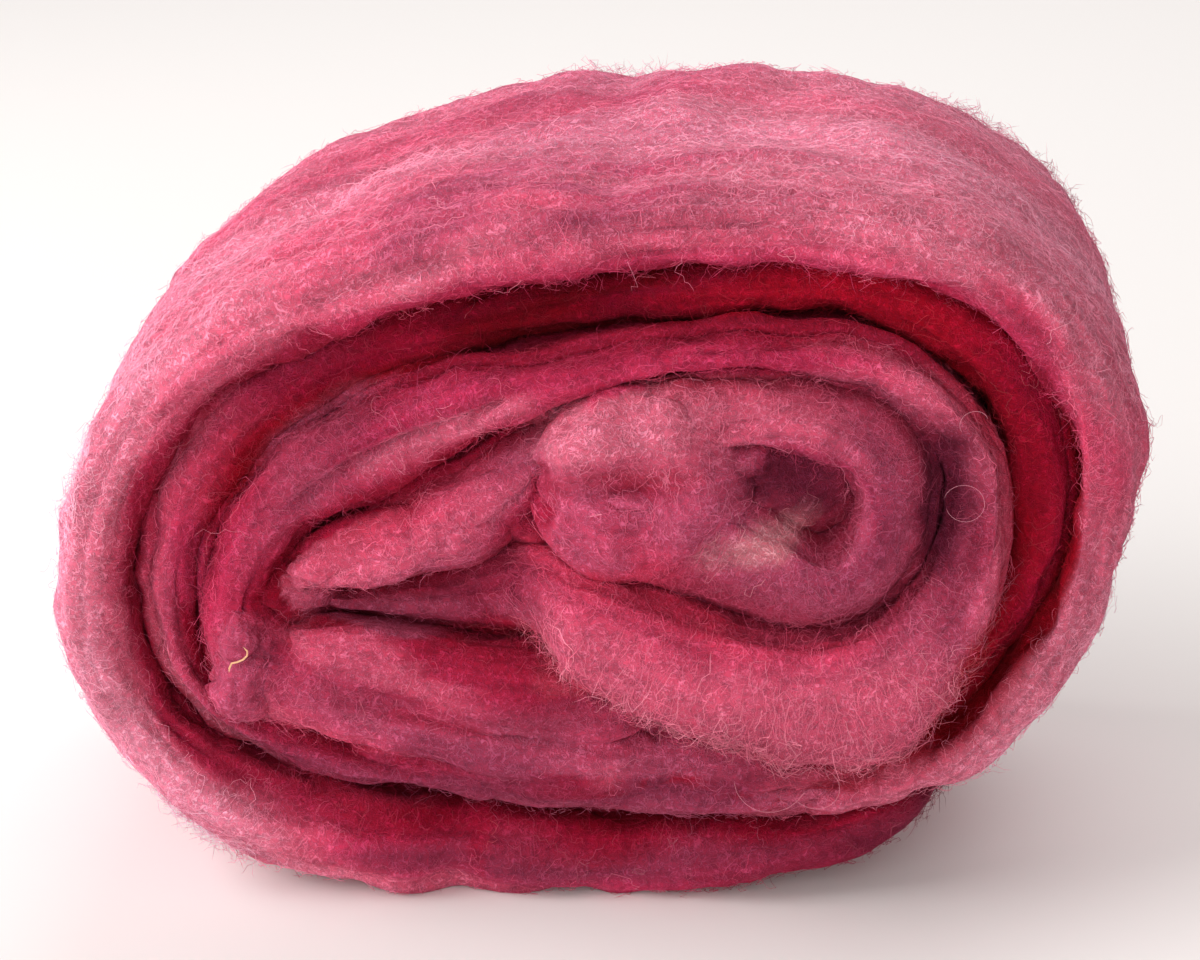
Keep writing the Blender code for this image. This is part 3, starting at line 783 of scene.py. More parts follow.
def dye_at(strip, distance, arc):
    """Linear colour of the dye, with painted shade and light: the painting's rows mixed along the strip and from
    edge to sides, in patches.

    Random patches move the place that is read a little along the strip, and make it lighter or darker. A lump
    takes the dye of the wool strip next to it."""
    if strip is not WOOL:
        beside = dye_at(WOOL, *nearest_on_wool(on_strip(strip, distance, arc)[0]))
        return patched(strip, beside, distance, arc)
    station = np.interp(distance, strip.distance, strip.station) + mottled(DYE_SHIFTS, distance, arc)

    def painted(side):
        table = np.array([linear(DYES[dyes.split()[side]]) for dyes in PAINTING.values()])
        return np.stack([np.interp(station, list(PAINTING), column) for column in table.T], axis=-1)

    place = arc + mottled(DYE_WANDER, distance, arc)
    outer = ease(place / EDGE_TO_FACE)[..., None]
    # the inner side's darker colour is partly painted shade of the crevice it faces
    inner = ease((INNER_STARTS - place) / EDGE_TO_INNER)[..., None] * (1 - outer)
    colour = painted(1) * (1 - outer - inner) + painted(0) * outer + painted(2) * inner
    free = np.interp(distance, strip.distance, strip.free) * (arc > 0)
    # painted shade: a packed side darkens as it runs down into the furrow
    furrow = ramp(np.abs(place), FURROW_STARTS, FURROW_ENDS) * (1 - free)
    colour = colour * (1 - furrow[..., None] * (1 - FURROW_SHADE_TINT))
    colour = patched(strip, banded(colour, distance, arc, free), distance, arc)
    bent = arc + mottled(TONE_BEND, distance, arc)
    return np.clip(colour * (1 + mottled(TONES, distance, bent))[..., None], 0, 1)


UV_UNIT = 100.0  # millimetres along the strip and round it to one unit of its UV map


def make_strip(name, strip, material):
    """A strip or lump: the grid's bands of quads, a fan over each end, and a UV map."""
    sections, columns = len(strip.distance), len(strip.arc) - 1
    corner = np.arange(sections * columns).reshape(sections, columns)
    beside = np.roll(corner, -1, axis=1)
    quads = np.stack([corner[:-1], corner[1:], beside[1:], beside[:-1]], axis=-1).reshape(-1, 4)
    first_end = np.stack([np.full(columns, sections * columns), corner[0], beside[0]], axis=-1)
    last_end = np.stack([np.full(columns, sections * columns + 1), beside[-1], corner[-1]], axis=-1)
    triangles = np.concatenate([first_end, last_end])
    points = strip.grid[:, :-1, :3]
    ends = points[[0, -1]].mean(axis=1)
    dye = dye_at(strip, *np.meshgrid(strip.distance, strip.arc[:-1], indexing="ij"))
    vertices = np.concatenate([points.reshape(-1, 3), ends]) * MM
    colours = np.concatenate([dye.reshape(-1, 3), dye[[0, -1]].mean(axis=1)])

    travel, arc = np.meshgrid(strip.distance, strip.arc, indexing="ij")
    place = np.stack([travel, arc], axis=-1) / UV_UNIT
    quad_uv = np.stack([place[:-1, :-1], place[1:, :-1], place[1:, 1:], place[:-1, 1:]], axis=2).reshape(-1, 2)
    first_uv = np.stack([place[0, :-1], place[0, :-1], place[0, 1:]], axis=1).reshape(-1, 2)
    last_uv = np.stack([place[-1, :-1], place[-1, 1:], place[-1, :-1]], axis=1).reshape(-1, 2)
    uv = np.concatenate([first_uv, last_uv, quad_uv])
    return make_piece(name, vertices, triangles, quads, material, colours, uv)


# ---- Soft lumps: matted wool over the heart and its furrows, the long fold and the knot at the left, the two
# ridges at the lower left and the lips at the lower right.

# A lump's middle in the drawing, how far its front stands behind the roll's front end, its half sizes, how far it
# is turned (degrees, left end down), how boxy it is (2 is an ellipsoid) and the depth of a crease along it.
Lump = namedtuple("Lump", "name x front z wide deep tall turn seed boxy crease", defaults=(2.0, 0.0))

SOFT_LUMPS = table(
    Lump,
    ("heart_front", 4.3, -4.0, 47.4, 10.7, 6.4, 9.9, 6.0, 71, 2.5, 2.3),
    ("eye_floor", 19.6, -0.9, 47.7, 7.4, 5.0, 5.6, 20.0, 77),
    ("eye_corner", 14.8, -2.0, 50.0, 3.8, 4.5, 3.4, 0.0, 89),
    ("valley_wool", 32.4, 2.8, 46.6, 8.5, 4.0, 2.6, 87.0, 80),
    ("hollow_wool", -6.8, 3.0, 40.4, 4.5, 4.0, 3.0, -30.0, 81),
    ("lower_front", -0.5, 1.0, 14.9, 25.5, 5.0, 5.0, -2.5, 72, 2.4),
    ("lower_right", 28.5, 2.2, 16.6, 9.0, 4.5, 3.0, 22.0, 78),
    ("lip_wool", 21.0, 1.4, 15.0, 8.5, 4.0, 2.3, 12.0, 85),
    ("lip_outer", 29.4, 0.8, 14.8, 9.6, 4.0, 3.0, 22.0, 88),
    ("ridge_upper", -14.0, -0.4, 24.3, 19.0, 5.0, 4.8, -9.0, 83, 2.6),
    ("ridge_lower", -10.5, 0.0, 18.0, 19.0, 4.0, 3.7, -7.0, 84, 2.4),
    ("fold_front", -20.0, 1.0, 38.7, 12.0, 4.5, 3.9, 15.0, 75, 2.2),
    ("fold_pocket", -31.6, 3.6, 32.0, 5.4, 6.0, 4.2, -8.0, 76),
    ("knot_upper", -36.2, 0.2, 28.8, 2.2, 3.0, 3.2, 0.0, 73),
    ("knot_lower", -36.0, -1.6, 23.6, 3.3, 4.6, 3.9, 0.0, 74),
)
LUMP_SECTIONS, LUMP_RING = 44, 53  # sections, and points in each section's ring
LUMP_TRIM = 0.1  # the angle by which a lump stops short of its poles
SWELL, SWELL_SCALE = 0.09, 4  # how much its random patches swell it, and how many of them go round it
CREASE_WIDTH = 2.6


def soft_lump(lump):
    """A lump as a ring of points for each section along its longest way: a superellipsoid, swollen here and there
    by random patches, with a crease in the left half of its front."""

    def boxed(value):
        return np.sign(value) * np.abs(value) ** (2 / lump.boxy)

    pole = np.pi / 2 - LUMP_TRIM
    lean = np.linspace(-pole, pole, LUMP_SECTIONS)[:, None]
    angle = np.linspace(-np.pi, np.pi, LUMP_RING)[None, :]
    patch_place = SWELL_SCALE * lean, SWELL_SCALE * np.cos(angle) + np.sin(angle)
    ring = boxed(np.cos(lean)) * (1 + SWELL * patchy(*patch_place, 1.0, 1.0, lump.seed))
    x = lump.wide * boxed(np.sin(lean)) * np.ones_like(angle)
    y = lump.front + lump.deep * (1 - ring * boxed(np.cos(angle)))
    z = lump.tall * ring * boxed(np.sin(angle))
    y = y + lump.crease * np.exp(-((z / CREASE_WIDTH) ** 2)) * ramp(x / lump.wide, 0.5, -0.2)
    turn = np.radians(lump.turn)
    across, up = x * np.cos(turn) - z * np.sin(turn), x * np.sin(turn) + z * np.cos(turn)
    grid = np.stack([lump.x + across, y, lump.z + up], axis=-1) + ORIGIN
    distance = travelled(grid[:, LUMP_RING // 2])
    arc = angle[0] * (lump.deep + lump.tall) / 2
    grid = grid + facing(grid) * mottled(CLUMPS, distance[:, None], arc)[..., None]
    return closed_strip(distance, arc, grid)


def closed_strip(distance, arc, grid):
    """A lump's or cord's strip, with the first point of each ring again at its end."""
    grid[:, -1] = grid[:, 0]
    ones = np.ones(len(distance))
    return Strip(distance, arc, ones, ones, with_normals(grid))


# Loose wool down in a furrow, along the outer side of a turn: the stations between which it lies, the column of
# the front corner beside it and its radius.
Cord = namedtuple("Cord", "name first last column radius seed")

CORDS = table(
    Cord,
    ("furrow_wool", 26.0, 93.0, 10, 0.8, 79),
    ("furrow_wool_right", 38.0, 47.0, 8, 1.3, 86),
    ("furrow_wool_left", 28.0, 35.5, 8, 1.2, 87),
    ("furrow_wool_inner", 57.0, 66.0, 9, 1.0, 91),
)
CORD_RING = 9  # points in a cord's ring
CORD_SPREAD, CORD_PATCH = 0.35, (3.0, 1.5)  # how uneven its radius is, and over what length and angle
CORD_END, END_SHARE = 5.0, 0.3  # the length over which a cord shrinks, and the share that is left at its end


def furrow_wool(cord, strip):
    """A soft uneven cord that keeps a furrow from reading as a black slit. Each ring is a circle square to the
    winding, and it shrinks towards the cord's two ends."""
    first, last = np.searchsorted(strip.station, (cord.first, cord.last))
    column = np.abs(strip.arc).argmin() + cord.column
    rows = np.arange(first, min(last, len(strip.distance) - 1), 2)
    middle, outward = strip.grid[rows, column, :3], unit(strip.grid[rows, column, 3:] * (1, 0, 1))
    angle = np.linspace(-np.pi, np.pi, CORD_RING)[None, :]
    distance = strip.distance[rows] - strip.distance[first]
    from_end = np.minimum(distance, distance[-1] - distance)[:, None]
    radius = cord.radius * (1 + CORD_SPREAD * patchy(distance[:, None], angle, *CORD_PATCH, cord.seed))
    radius = radius * (END_SHARE + (1 - END_SHARE) * ease(from_end / CORD_END))
    middle = middle + outward * PARTING / 2
    ring = np.sin(angle)[..., None] * outward[:, None] - np.cos(angle)[..., None] * np.array([0, 1.0, 0])
    return closed_strip(distance, angle[0] * cord.radius, middle[:, None] + ring * radius[..., None])


# ---- The single fibres.


TUBE_ANGLES = np.radians([90.0, 210.0, 330.0])
TUBE_SHARE = 0.35  # how much of a fibre's own roundness shows


def tubes(paths, up, thickness):
    """Closed three-sided tubes along paths, with their ends drawn to points: vertices, triangles and quads.

    `paths` and `up` are fibres by points by 3, and `thickness` is one value for each fibre."""
    fibres, count = paths.shape[:2]
    ahead = np.gradient(paths, axis=1)
    side = unit(np.cross(ahead, up))
    lift = unit(np.cross(side, ahead))
    angle = TUBE_ANGLES[None, None, :, None]
    ring = np.cos(angle) * side[:, 1:-1, None] + np.sin(angle) * lift[:, 1:-1, None]
    ring = paths[:, 1:-1, None] + ring * thickness[:, None, None, None] / 2
    vertices = np.concatenate([paths[:, :1], ring.reshape(fibres, -1, 3), paths[:, -1:]], axis=1)

    rings = count - 2
    here = 1 + np.arange(rings * 3).reshape(rings, 3)
    beside = np.roll(here, -1, axis=1)
    quads = np.stack([here[:-1], here[1:], beside[1:], beside[:-1]], axis=-1).reshape(-1, 4)
    first = np.stack([np.zeros(3, int), here[0], beside[0]], axis=-1)
    last = np.stack([np.full(3, rings * 3 + 1), beside[-1], here[-1]], axis=-1)
    start = (np.arange(fibres) * vertices.shape[1])[:, None, None]
    triangles = (start + np.concatenate([first, last])).reshape(-1, 3)
    return vertices.reshape(-1, 3), triangles, (start + quads).reshape(-1, 4)


def tube_normals(paths, up, vertices):
    """Normals that let a fibre take the light as the wool round it does, as thin translucent fibres do: mostly
    the wool's own normal, and a part of the tube's."""
    fibres, count = paths.shape[:2]
    point = np.concatenate([[0], np.repeat(np.arange(1, count - 1), 3), [count - 1]])
    outward = unit(vertices.reshape(fibres, -1, 3) - paths[:, point])
    return unit(up[:, point] + TUBE_SHARE * outward).reshape(-1, 3)


# A kind of fuzz: how many fibres, the points along each, their length and thickness, how far they rise, how far
# they turn away from the strip's direction (radians), how much they curl (radians a millimetre), the share with
# one end free, how much brighter than the wool below they may be, and how much of its lightness is added as white,
# partly as painted sheen.
Fuzz = namedtuple("Fuzz", "name zone count points length thickness rise stray curl loose bright pale seed")

FUZZ = table(
    Fuzz,
    ("fuzz_on_heart", "heart", 5400, 7, (2.0, 4.6), 0.050, 0.40, 1.5, 1.4, 0.30, 0.16, 0.10, 101),
    ("fuzz_on_turns", "turns", 6400, 7, (2.0, 4.6), 0.050, 0.40, 1.3, 1.3, 0.30, 0.16, 0.10, 102),
    ("fuzz_on_outside", "outside", 4900, 6, (2.0, 4.6), 0.054, 0.45, 0.9, 0.8, 0.35, 0.16, 0.12, 103),
    ("fuzz_on_back", "back", 2500, 6, (2.0, 4.6), 0.054, 0.50, 1.2, 0.8, 0.35, 0.16, 0.12, 104),
    ("fuzz_over_furrows", "furrows", 3200, 6, (2.0, 4.4), 0.042, 1.0, 1.5, 1.2, 0.80, 0.10, 0.04, 108),
    ("stray_curls", "front", 360, 12, (4.0, 8.0), 0.040, 1.2, 1.5, 0.9, 0.30, 0.20, 0.30, 105),
)
FUZZ_ON_LUMPS = Fuzz("fuzz_on_lumps", "all", 3400, 7, (2.0, 4.6), 0.050, 0.45, 1.8, 1.4, 0.30, 0.16, 0.10, 106)
TUFT_FIBRES = Fuzz("tufts", "all", 130, 6, (1.5, 4.5), 0.048, 0.9, 1.5, 1.2, 0.6, 0.20, 0.30, 107)
HEART_STARTS = 46.0  # the station where the second turn ends
ROOT_CLEARANCE, FIBRE_CLEARANCE = 0.4, 0.15  # how far over the floor a fibre's root and its other points stay
CRIMP = (1.2, 2.6)  # from one wave of a fibre's crimp to the next
SWING = (0.4, 1.4)  # how far its heading swings with each wave, in radians
RISE, WIDTHS = (0.3, 1.5), (0.7, 1.3)  # the least and greatest share of its kind's rise and thickness
BRIGHTER = (-0.4, 1.6)  # and of its kind's brightness
FREE_RISE, FREE_POWER = 1.7, 1.4  # how high and how steeply a free end rises
RIPPLE, RIPPLE_LENGTH = 0.12, 0.8  # a wave's height, and its length in crimps
ROOT_DEPTH = 0.12  # how deep a fibre's root lies in the wool


def zone_weight(strip, zone):
    """How thickly a zone's fibres stand on each cell of the grid, before the cells' sizes. A ramp's numbers are
    how far round from the tip a zone has no fibres, and where it has all of them."""
    from_front, from_back = from_edges(strip)
    free = strip.free[:, None] * (strip.arc > 0)
    heart = (strip.station > HEART_STARTS)[:, None]
    front = ramp(from_front, 12.0, 7.0)
    weights = {
        "all": ramp(from_front, 9.0, 7.0),
        "front": front,
        "heart": front * heart,
        "turns": front * ~heart,
        "furrows": (1 - free) * ramp(from_front, 1.5, 3.0) * ramp(from_front, 5.0, 3.5),
        "outside": free * ramp(from_front, 5.0, 10.0),
        "back": ramp(from_back, 8.0, 4.0),
    }
    return weights[zone] * np.ones(strip.grid.shape[:2])


def roots(strip, weight, count, dice):
    """Random places on the strip, as distances and arcs: thick where the weight and the cell's area are large."""
    grid = strip.grid[..., :3]
    along, across = grid[1:, :-1] - grid[:-1, :-1], grid[:-1, 1:] - grid[:-1, :-1]
    area = np.linalg.norm(np.cross(along, across), axis=-1)
    chance = (area * weight[:-1, :-1] * (grid[:-1, :-1, 2] > ROOT_CLEARANCE)).ravel()
    cell = np.searchsorted(np.cumsum(chance) / chance.sum(), dice.uniform(0, 1, count))
    row, column = np.unravel_index(np.minimum(cell, chance.size - 1), area.shape)
    distance = strip.distance[row] + dice.uniform(0, 1, count) * np.diff(strip.distance)[row]
    arc = strip.arc[column] + dice.uniform(0, 1, count) * np.diff(strip.arc)[column]
    return distance, arc


# Fibres ready to be joined: their mesh, and the dye and normal of each of its points.
Batch = namedtuple("Batch", "vertices triangles quads dye normals")


def batch_of_tubes(paths, up, thickness, dye):
    """Tubes along paths, each of one dye."""
    vertices, triangles, quads = tubes(paths, up, thickness)
    each = len(vertices) // len(paths)
    return Batch(vertices, triangles, quads, np.repeat(dye, each, axis=0), tube_normals(paths, up, vertices))


def crimped_fibres(strip, fuzz, distance, arc, dice):
    """Crimped fibres that creep over the strip from the given places.

    A fibre's heading starts near the strip's own direction, turns steadily by its curl, and swings to and fro
    once a crimp. Its height is an arch with both ends in the wool, or a rising curve where one end is free."""
    count = len(distance)
    length = dice.uniform(*fuzz.length, count)[:, None]
    step = np.linspace(0, 1, fuzz.points)[None, :]
    crimp = dice.uniform(*CRIMP, count)[:, None]
    phase = dice.uniform(0, 2 * np.pi, (count, 2))
    swing = dice.uniform(*SWING, count)[:, None]
    start = dice.normal(0, fuzz.stray, count) + np.pi * dice.integers(0, 2, count)
    curl = dice.normal(0, fuzz.curl, count)[:, None]
    run = step * length
    heading = start[:, None] + curl * run + swing * np.sin(2 * np.pi * run / crimp + phase[:, :1])
    pace = length / (fuzz.points - 1)
    travel = distance[:, None] + np.cumsum(np.cos(heading) * pace, axis=1)
    turn = arc[:, None] + np.cumsum(np.sin(heading) * pace, axis=1)
    points, normal = on_strip(strip, travel, turn)
    rise = fuzz.rise * dice.uniform(*RISE, count)[:, None]
    loose = (dice.uniform(0, 1, count) < fuzz.loose)[:, None]
    arch = np.where(loose, FREE_RISE * step**FREE_POWER, np.sin(np.pi * step))
    ripple = RIPPLE * np.sin(2 * np.pi * run / (crimp * RIPPLE_LENGTH) + phase[:, 1:])
    height = rise * arch + ripple * step - ROOT_DEPTH * (1 - step)
    paths = points + normal * height[..., None]
    paths[..., 2] = np.maximum(paths[..., 2], FIBRE_CLEARANCE)
    brighter = 1 + fuzz.bright * dice.uniform(*BRIGHTER, (count, 1))
    dye = dye_at(strip, distance, arc)
    # added white: paler fibres, and partly painted sheen in place of the shader's
    white = dye.mean(axis=-1, keepdims=True) * fuzz.pale * dice.uniform(0, 2, (count, 1))
    dye = np.clip(dye * brighter + white, 0, 1)
    return batch_of_tubes(paths, normal, fuzz.thickness * dice.uniform(*WIDTHS, count), dye)


def make_fibres(name, batches, material):
    """Joins batches of fibres into one piece."""
    starts = np.cumsum([0] + [len(batch.vertices) for batch in batches])
    triangles, quads = (
        np.concatenate([getattr(batch, faces) + start for batch, start in zip(batches, starts)])
        for faces in ("triangles", "quads")
    )
    vertices, dye, normals = (
        np.concatenate([getattr(batch, field) for batch in batches]) for field in ("vertices", "dye", "normals")
    )
    return make_piece(name, vertices * MM, triangles, quads, material, dye, normals=normals)


def make_fuzz(name, strips, fuzz, material):
    """One kind of fuzz, shared out over the given strips by their size and joined."""
    dice = np.random.default_rng(fuzz.seed)
    batches = []
    sizes = np.array([strip.distance[-1] * np.ptp(strip.arc) for strip in strips])
    for strip, share in zip(strips, sizes / sizes.sum()):
        distance, arc = roots(strip, zone_weight(strip, fuzz.zone), int(fuzz.count * share), dice)
        batches.append(crimped_fibres(strip, fuzz, distance, arc, dice))
    return make_fibres(name, batches, material)


# Tufts of loose fibre: where in the drawing, how far round from the front tip they stand (with the back edge at
# its far end), and over how wide a stretch.
Tuft = namedtuple("Tuft", "x z round_it spread")
FRONT_TIP, OUTER_BULGE, BACK_EDGE = 0.0, 4.0, 60.0
SEAM_COLUMNS = 3  # columns by the seam that are left free
TUFT_DEPTH = 1.2  # how far round its place a tuft's roots spread

TUFTS = table(
    Tuft,
    (1.0, 76.0, BACK_EDGE, 3.2),
    (38.0, 70.0, BACK_EDGE, 3.0),
    (47.0, 60.0, BACK_EDGE, 3.0),
    (-50.0, 44.0, OUTER_BULGE, 2.5),
    (-40.5, 8.0, OUTER_BULGE, 3.0),
    (35.0, 12.0, FRONT_TIP, 2.0),
    (-2.0, 31.0, OUTER_BULGE, 2.6),
    (5.0, 27.5, OUTER_BULGE, 2.6),
    (12.0, 25.0, OUTER_BULGE, 2.8),
    (19.0, 24.5, OUTER_BULGE, 2.8),
    (26.0, 26.0, OUTER_BULGE, 2.8),
    (31.5, 31.0, OUTER_BULGE, 2.6),
)


def make_tufts(strip, material):
    """The tufts, each rooted round the grid point that lies nearest to its place, as far round as it stands."""
    dice = np.random.default_rng(TUFT_FIBRES.seed)
    batches = []
    for tuft in TUFTS:
        column = np.abs(strip.arc[:-SEAM_COLUMNS] - tuft.round_it).argmin()
        points = strip.grid[:, column, :3] - ORIGIN
        row = np.hypot(points[:, 0] - tuft.x, points[:, 2] - tuft.z).argmin()
        distance = strip.distance[row] + dice.normal(0, tuft.spread, TUFT_FIBRES.count)
        arc = strip.arc[column] + dice.normal(0, TUFT_DEPTH, TUFT_FIBRES.count)
        batches.append(crimped_fibres(strip, TUFT_FIBRES, distance, arc, dice))
    return make_fibres("tufts", batches, material)


# A stray fibre that has sprung out of the front in a loop: its middle in the drawing, how far it stands behind
# the roll's front end, its radius, where it starts and how far it goes round (degrees), and how much it opens.
StrayLoop = namedtuple("StrayLoop", "x y z radius start sweep opening")

STRAY_LOOPS = table(
    StrayLoop,
    (34.8, -1.2, 46.8, 1.8, 200.0, 330.0, 0.1),
    (16.6, -2.6, 17.6, 3.2, 190.0, 150.0, 0.3),
    (21.6, -2.6, 16.8, 1.9, 150.0, -300.0, 0.4),
    (24.6, -2.6, 19.2, 1.6, 20.0, 210.0, 0.5),
    (30.4, -2.4, 24.2, 0.7, 90.0, 400.0, 0.2),
    (35.5, -0.8, 54.8, 1.2, 20.0, 200.0, 0.3),
)
LOOP_POINTS, LOOP_THICKNESS, LOOP_DYE = 22, 0.036, "#DC90A0"
LOOP_BULGE = 0.5  # how far a loop's middle stands out
STRAY_UP = (0.0, -1.0, 0.3)  # the way that a stray fibre faces

# The fleck of straw in the knot: points in the drawing.
FLECK = (
    (-37.0, -0.6, 26.4),
    (-36.9, -0.9, 27.0),
    (-36.6, -1.1, 27.7),
    (-36.0, -1.2, 27.9),
    (-35.4, -1.2, 28.2),
    (-35.0, -1.1, 28.6),
    (-35.0, -0.9, 29.0),
    (-35.5, -0.6, 29.4),
)
FLECK_THICKNESS, STRAW = 0.22, "#E8B088"


def make_strays(material):
    """The stray loops, arcs of a circle that opens as it goes, and the fleck of straw."""

    def stray(path, thickness, colour):
        up = np.tile(STRAY_UP, (1, len(path), 1))
        return batch_of_tubes(path[None] + ORIGIN, up, np.array([thickness]), linear(colour)[None])

    batches = []
    step = np.linspace(0, 1, LOOP_POINTS)
    for loop in STRAY_LOOPS:
        angle = np.radians(loop.start + loop.sweep * step)
        radius = loop.radius * (1 + loop.opening * step)
        x, z = loop.x + radius * np.cos(angle), loop.z + radius * np.sin(angle)
        path = np.stack([x, loop.y - LOOP_BULGE * np.sin(np.pi * step), z], axis=-1)
        batches.append(stray(path, LOOP_THICKNESS, LOOP_DYE))
    batches.append(stray(np.array(FLECK), FLECK_THICKNESS, STRAW))
    return make_fibres("stray_fibres", batches, material)


# ---- Materials.


def feed(tree, node, inputs):
    """Sets a node's sockets, by name or number, to values, or links other nodes' outputs into them."""
    for socket, value in inputs.items():
        if isinstance(value, bpy.types.NodeSocket):
            tree.links.new(value, node.inputs[socket])
        else:
            node.inputs[socket].default_value = value


def add_node(tree, kind, inputs, output=0, **settings):
    """Adds a node with its own settings and its sockets, and gives back one of its outputs."""
    node = tree.nodes.new(kind)
    for name, value in settings.items():
        setattr(node, name, value)
    feed(tree, node, inputs)
    return node.outputs[output]


def new_material(name, inputs):
    """A material of one Principled shader with the given sockets, with its node tree and that shader."""
    material = bpy.data.materials.new(name)
    material.use_nodes = True
    tree = material.node_tree
    shader = tree.nodes["Principled BSDF"]
    feed(tree, shader, inputs)
    return material, tree, shader


# Dyed keratin fibre, of index 1.55: matt, with the faint pink sheen of its nap.
WOOL_FIBRE = {
    "Roughness": 0.85,
    "IOR": 1.55,
    "Specular IOR Level": 0.05,
    "Sheen Weight": 0.025,
    "Sheen Roughness": 0.45,
    "Sheen Tint": (*linear("#F08CA0"), 1.0),
}
FIBRE_LINES = ((0.9, 0.050), (0.6, 0.05), (1.4, 0.032))  # size of the curls in millimetres, and line width
LINE_SHIFT = np.array([0.37, 0.11, 0.71])  # metres from one set of lines' noise to the next's
LINE_WAVER = 1.2  # how much the lines wind about
GAP_TINT, LINE_TINT = (0.86, 0.62, 0.67, 1.0), (1.20, 1.42, 1.36, 1.0)  # the dye between fibres and on them
STREAK_LENGTH, STREAK_WIDTH = 22.0, 1.1  # of the lighter and darker streaks along the strip, in millimetres
STREAK_NOISE = {"Scale": 1.0, "Detail": 3.0, "Distortion": 0.4}
STREAK_TONES = {"From Min": 0.3, "From Max": 0.7, "To Min": 0.84, "To Max": 1.10}
PIT_SIZE = 0.9  # of the dark pits between clumps, in millimetres; their darkness is painted shade
PIT_SHADE_TONES = {"From Min": 0.36, "From Max": 0.52, "To Min": 0.78, "To Max": 1.0}
SCATTER_SHARE, SCATTER_COLOUR = 0.3, (1.0, 0.25, 0.3)
SCATTER_DEPTH = 1.0  # how far light creeps through the loft, in millimetres
BUMP_STRENGTH, BUMP_HEIGHT = 0.9, 0.14  # the height in millimetres


def zero_lines(tree, place, index, size, width):
    """Thin winding lines: 1 along the zero lines of a noise field, fading to 0 beside them."""
    shifted = add_node(tree, "ShaderNodeMapping", {"Vector": place, "Location": LINE_SHIFT * index})
    noise = {"Vector": shifted, "Scale": 1 / (size * MM), "Detail": 1.0, "Distortion": LINE_WAVER}
    field = add_node(tree, "ShaderNodeTexNoise", noise)
    from_zero = add_node(tree, "ShaderNodeMath", {0: field, 1: 0.5}, operation="SUBTRACT")
    away = add_node(tree, "ShaderNodeMath", {0: from_zero}, operation="ABSOLUTE")
    fade = {"Value": away, "From Max": width, "To Min": 1.0, "To Max": 0.0}
    return add_node(tree, "ShaderNodeMapRange", fade, interpolation_type="SMOOTHSTEP")


def carded_wool():
    """Carded, hand-dyed wool: lofty and matt, a mat of curly single fibres with darker gaps between them.

    Each set of fibre lines is the zero lines of a noise field, which wind about and close in curls as crimped
    wool does. Real fibres are 0.03 mm thick; these lines are about 0.1 mm, the finest that shows. Light creeps
    through the loft, red furthest, so deep furrows glow dark red instead of turning grey."""
    material, tree, shader = new_material("carded_wool", WOOL_FIBRE)
    dye = add_node(tree, "ShaderNodeAttribute", {}, "Color", attribute_name="dye")
    place = add_node(tree, "ShaderNodeTexCoord", {}, "Object")
    fibres = zero_lines(tree, place, 0, *FIBRE_LINES[0])
    for index, (size, width) in enumerate(FIBRE_LINES[1:], 1):
        more = zero_lines(tree, place, index, size, width)
        fibres = add_node(tree, "ShaderNodeMath", {0: fibres, 1: more}, operation="MAXIMUM")
    scale = (UV_UNIT / STREAK_LENGTH, UV_UNIT / STREAK_WIDTH, 1.0)
    stretched = add_node(tree, "ShaderNodeMapping", {"Vector": place.node.outputs["UV"], "Scale": scale})
    streaks = add_node(tree, "ShaderNodeTexNoise", {"Vector": stretched, **STREAK_NOISE})
    tone = add_node(tree, "ShaderNodeMapRange", {"Value": streaks, **STREAK_TONES})
    # random dark pits between the clumps: painted shade
    clumps = add_node(tree, "ShaderNodeTexNoise", {"Vector": place, "Scale": 1 / (PIT_SIZE * MM), "Detail": 2.0})
    pits = add_node(tree, "ShaderNodeMapRange", {"Value": clumps, **PIT_SHADE_TONES})
    # the streaks' tone times the pits' painted shade
    shade = add_node(tree, "ShaderNodeMath", {0: tone, 1: pits}, operation="MULTIPLY")
    tint = add_node(tree, "ShaderNodeMix", {0: fibres, 6: GAP_TINT, 7: LINE_TINT}, 2, data_type="RGBA")
    tinted = add_node(tree, "ShaderNodeVectorMath", {0: dye, 1: tint}, operation="MULTIPLY")
    colour = add_node(tree, "ShaderNodeVectorMath", {0: tinted, "Scale": shade}, operation="SCALE")
    bump = {"Height": fibres, "Strength": BUMP_STRENGTH, "Distance": BUMP_HEIGHT * MM}
    feed(tree, shader, {
        "Base Color": colour,
        "Subsurface Weight": SCATTER_SHARE,
        "Subsurface Radius": SCATTER_COLOUR,
        "Subsurface Scale": SCATTER_DEPTH * MM,
        "Normal": add_node(tree, "ShaderNodeBump", bump),
    })
    return material


def single_fibres():
    """Single dyed wool fibres: thin, crimped and a little brighter than the mat they stand on, partly as painted
    sheen.
    """
    material, tree, shader = new_material("single_wool_fibres", WOOL_FIBRE)
    feed(tree, shader, {"Base Color": add_node(tree, "ShaderNodeAttribute", {}, "Color", attribute_name="dye")})
    return material


# ---- Floor, light and camera.

AIM = (1.3, -24.9, 47.8)
AZIMUTH, ELEVATION = 3.5, 22.0
CAMERA_DISTANCE = 272.5
LENS, SENSOR = 85.0, 36.0
FLOOR_HALF = 2.5  # half the floor's side, in metres
SURROUND, SURROUND_STRENGTH = "#FFFDFA", 0.34
LIGHTS_AIM = (0, 0, 0.03)


def make_floor():
    """A pale matt table top."""
    material, _, _ = new_material("pale_table_top", {"Base Color": (*linear("#EEE9E7"), 1.0), "Roughness": 0.6})
    mesh = bpy.data.meshes.new("table_top")
    corners = [(x * FLOOR_HALF, y * FLOOR_HALF, 0) for x, y in ((-1, -1), (1, -1), (1, 1), (-1, 1))]
    mesh.from_pydata(corners, [], [(0, 1, 2, 3)])
    mesh.materials.append(material)
    floor = add_object("table_top", mesh)


# A soft light: where it hangs over the roll, its size and its power in watts.
Softbox = namedtuple("Softbox", "name place size power")

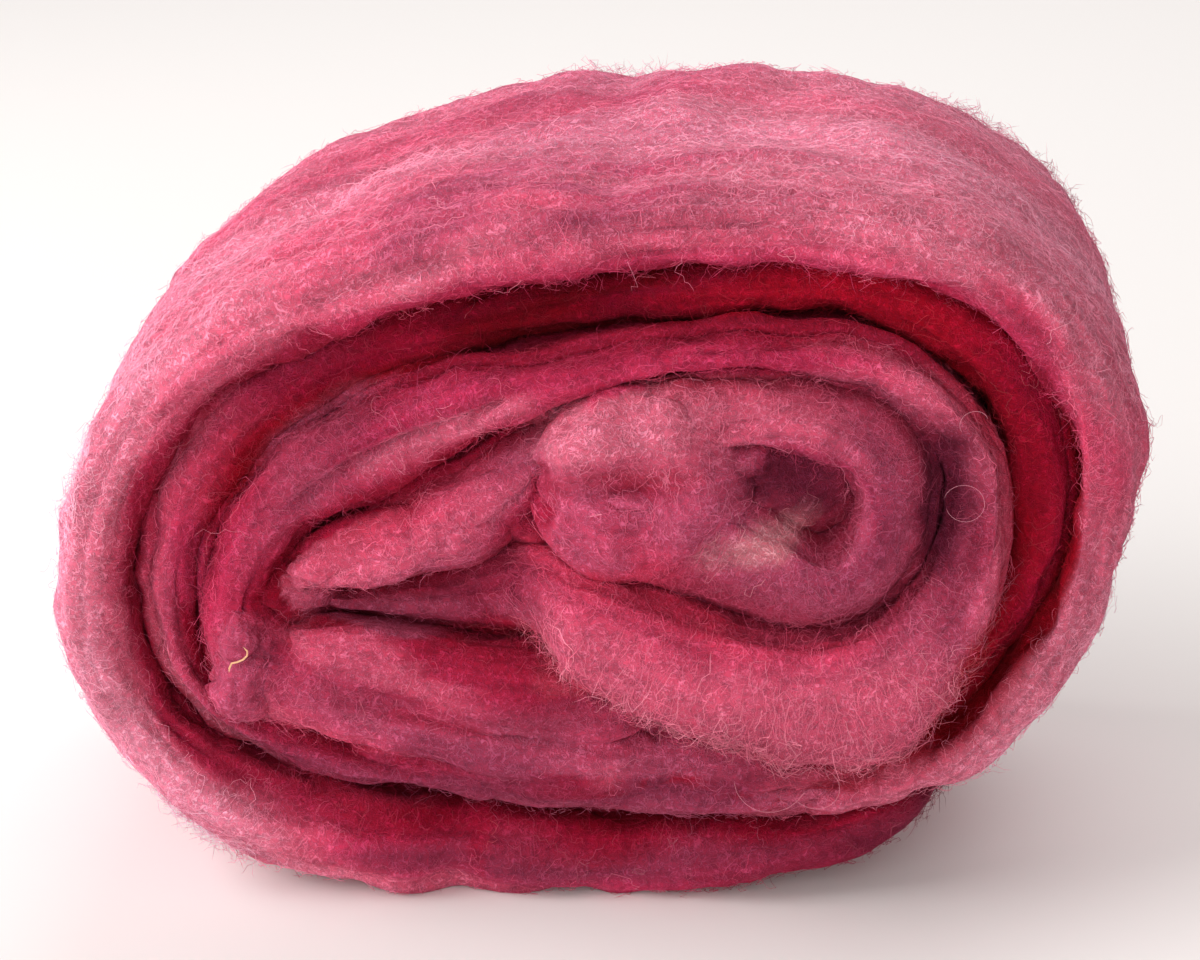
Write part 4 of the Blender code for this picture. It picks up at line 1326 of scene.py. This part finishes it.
SOFTBOXES = table(
    Softbox,
    ("window_left", (-560.0, -150.0, 440.0), 520.0, 5.3),
    ("overhead", (130.0, 480.0, 600.0), 600.0, 2.7),
    ("front_fill", (-80.0, -560.0, 250.0), 500.0, 1.8),
)


def aim(thing, place, target):
    """Puts a light or camera at a place, looking at a target, both in metres."""
    thing.location = place
    thing.rotation_euler = (Vector(target) - Vector(place)).to_track_quat("-Z", "Y").to_euler()


def make_lights():
    """Large square lights and an even pale surround."""
    for box in SOFTBOXES:
        light = bpy.data.lights.new(box.name, "AREA")
        light.size = box.size * MM
        light.energy = box.power
        aim(add_object(box.name, light), np.array(box.place) * MM, LIGHTS_AIM)
    world = bpy.data.worlds.new("pale_surround")
    bpy.context.scene.world = world
    world.use_nodes = True
    surround = {"Color": (*linear(SURROUND), 1.0), "Strength": SURROUND_STRENGTH}
    feed(world.node_tree, world.node_tree.nodes["Background"], surround)


def make_camera():
    """An 85 mm lens from the front, a little from the right and above."""
    data = bpy.data.cameras.new("camera")
    data.lens = LENS
    data.sensor_width = SENSOR
    data.clip_start, data.clip_end = 0.01, 10.0
    camera = add_object("camera", data)
    turn, rise = np.radians([AZIMUTH, ELEVATION])
    back = np.array([np.sin(turn) * np.cos(rise), -np.cos(turn) * np.cos(rise), np.sin(rise)])
    target = np.array(AIM)
    aim(camera, (target + back * CAMERA_DISTANCE) * MM, target * MM)
    bpy.context.scene.camera = camera


# ---- The whole scene.

make_camera()
make_lights()
make_floor()
mat, hair = carded_wool(), single_fibres()
plain_strip = smooth_strip()
ORIGIN = drawing_origin(plain_strip)
WOOL = place_and_roughen(plain_strip)
body = make_strip("wool_strip", WOOL, mat)
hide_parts(SOLID)
lumps = [soft_lump(lump) for lump in SOFT_LUMPS] + [furrow_wool(cord, WOOL) for cord in CORDS]
for source, surface in zip(SOFT_LUMPS + CORDS, lumps):
    make_strip(source.name, surface, mat)
for kind in FUZZ:
    make_fuzz(kind.name, [WOOL], kind, hair)
make_fuzz(FUZZ_ON_LUMPS.name, lumps, FUZZ_ON_LUMPS, hair)
make_tufts(WOOL, hair)
make_strays(hair)
bpy.context.scene.view_settings.view_transform = "Standard"
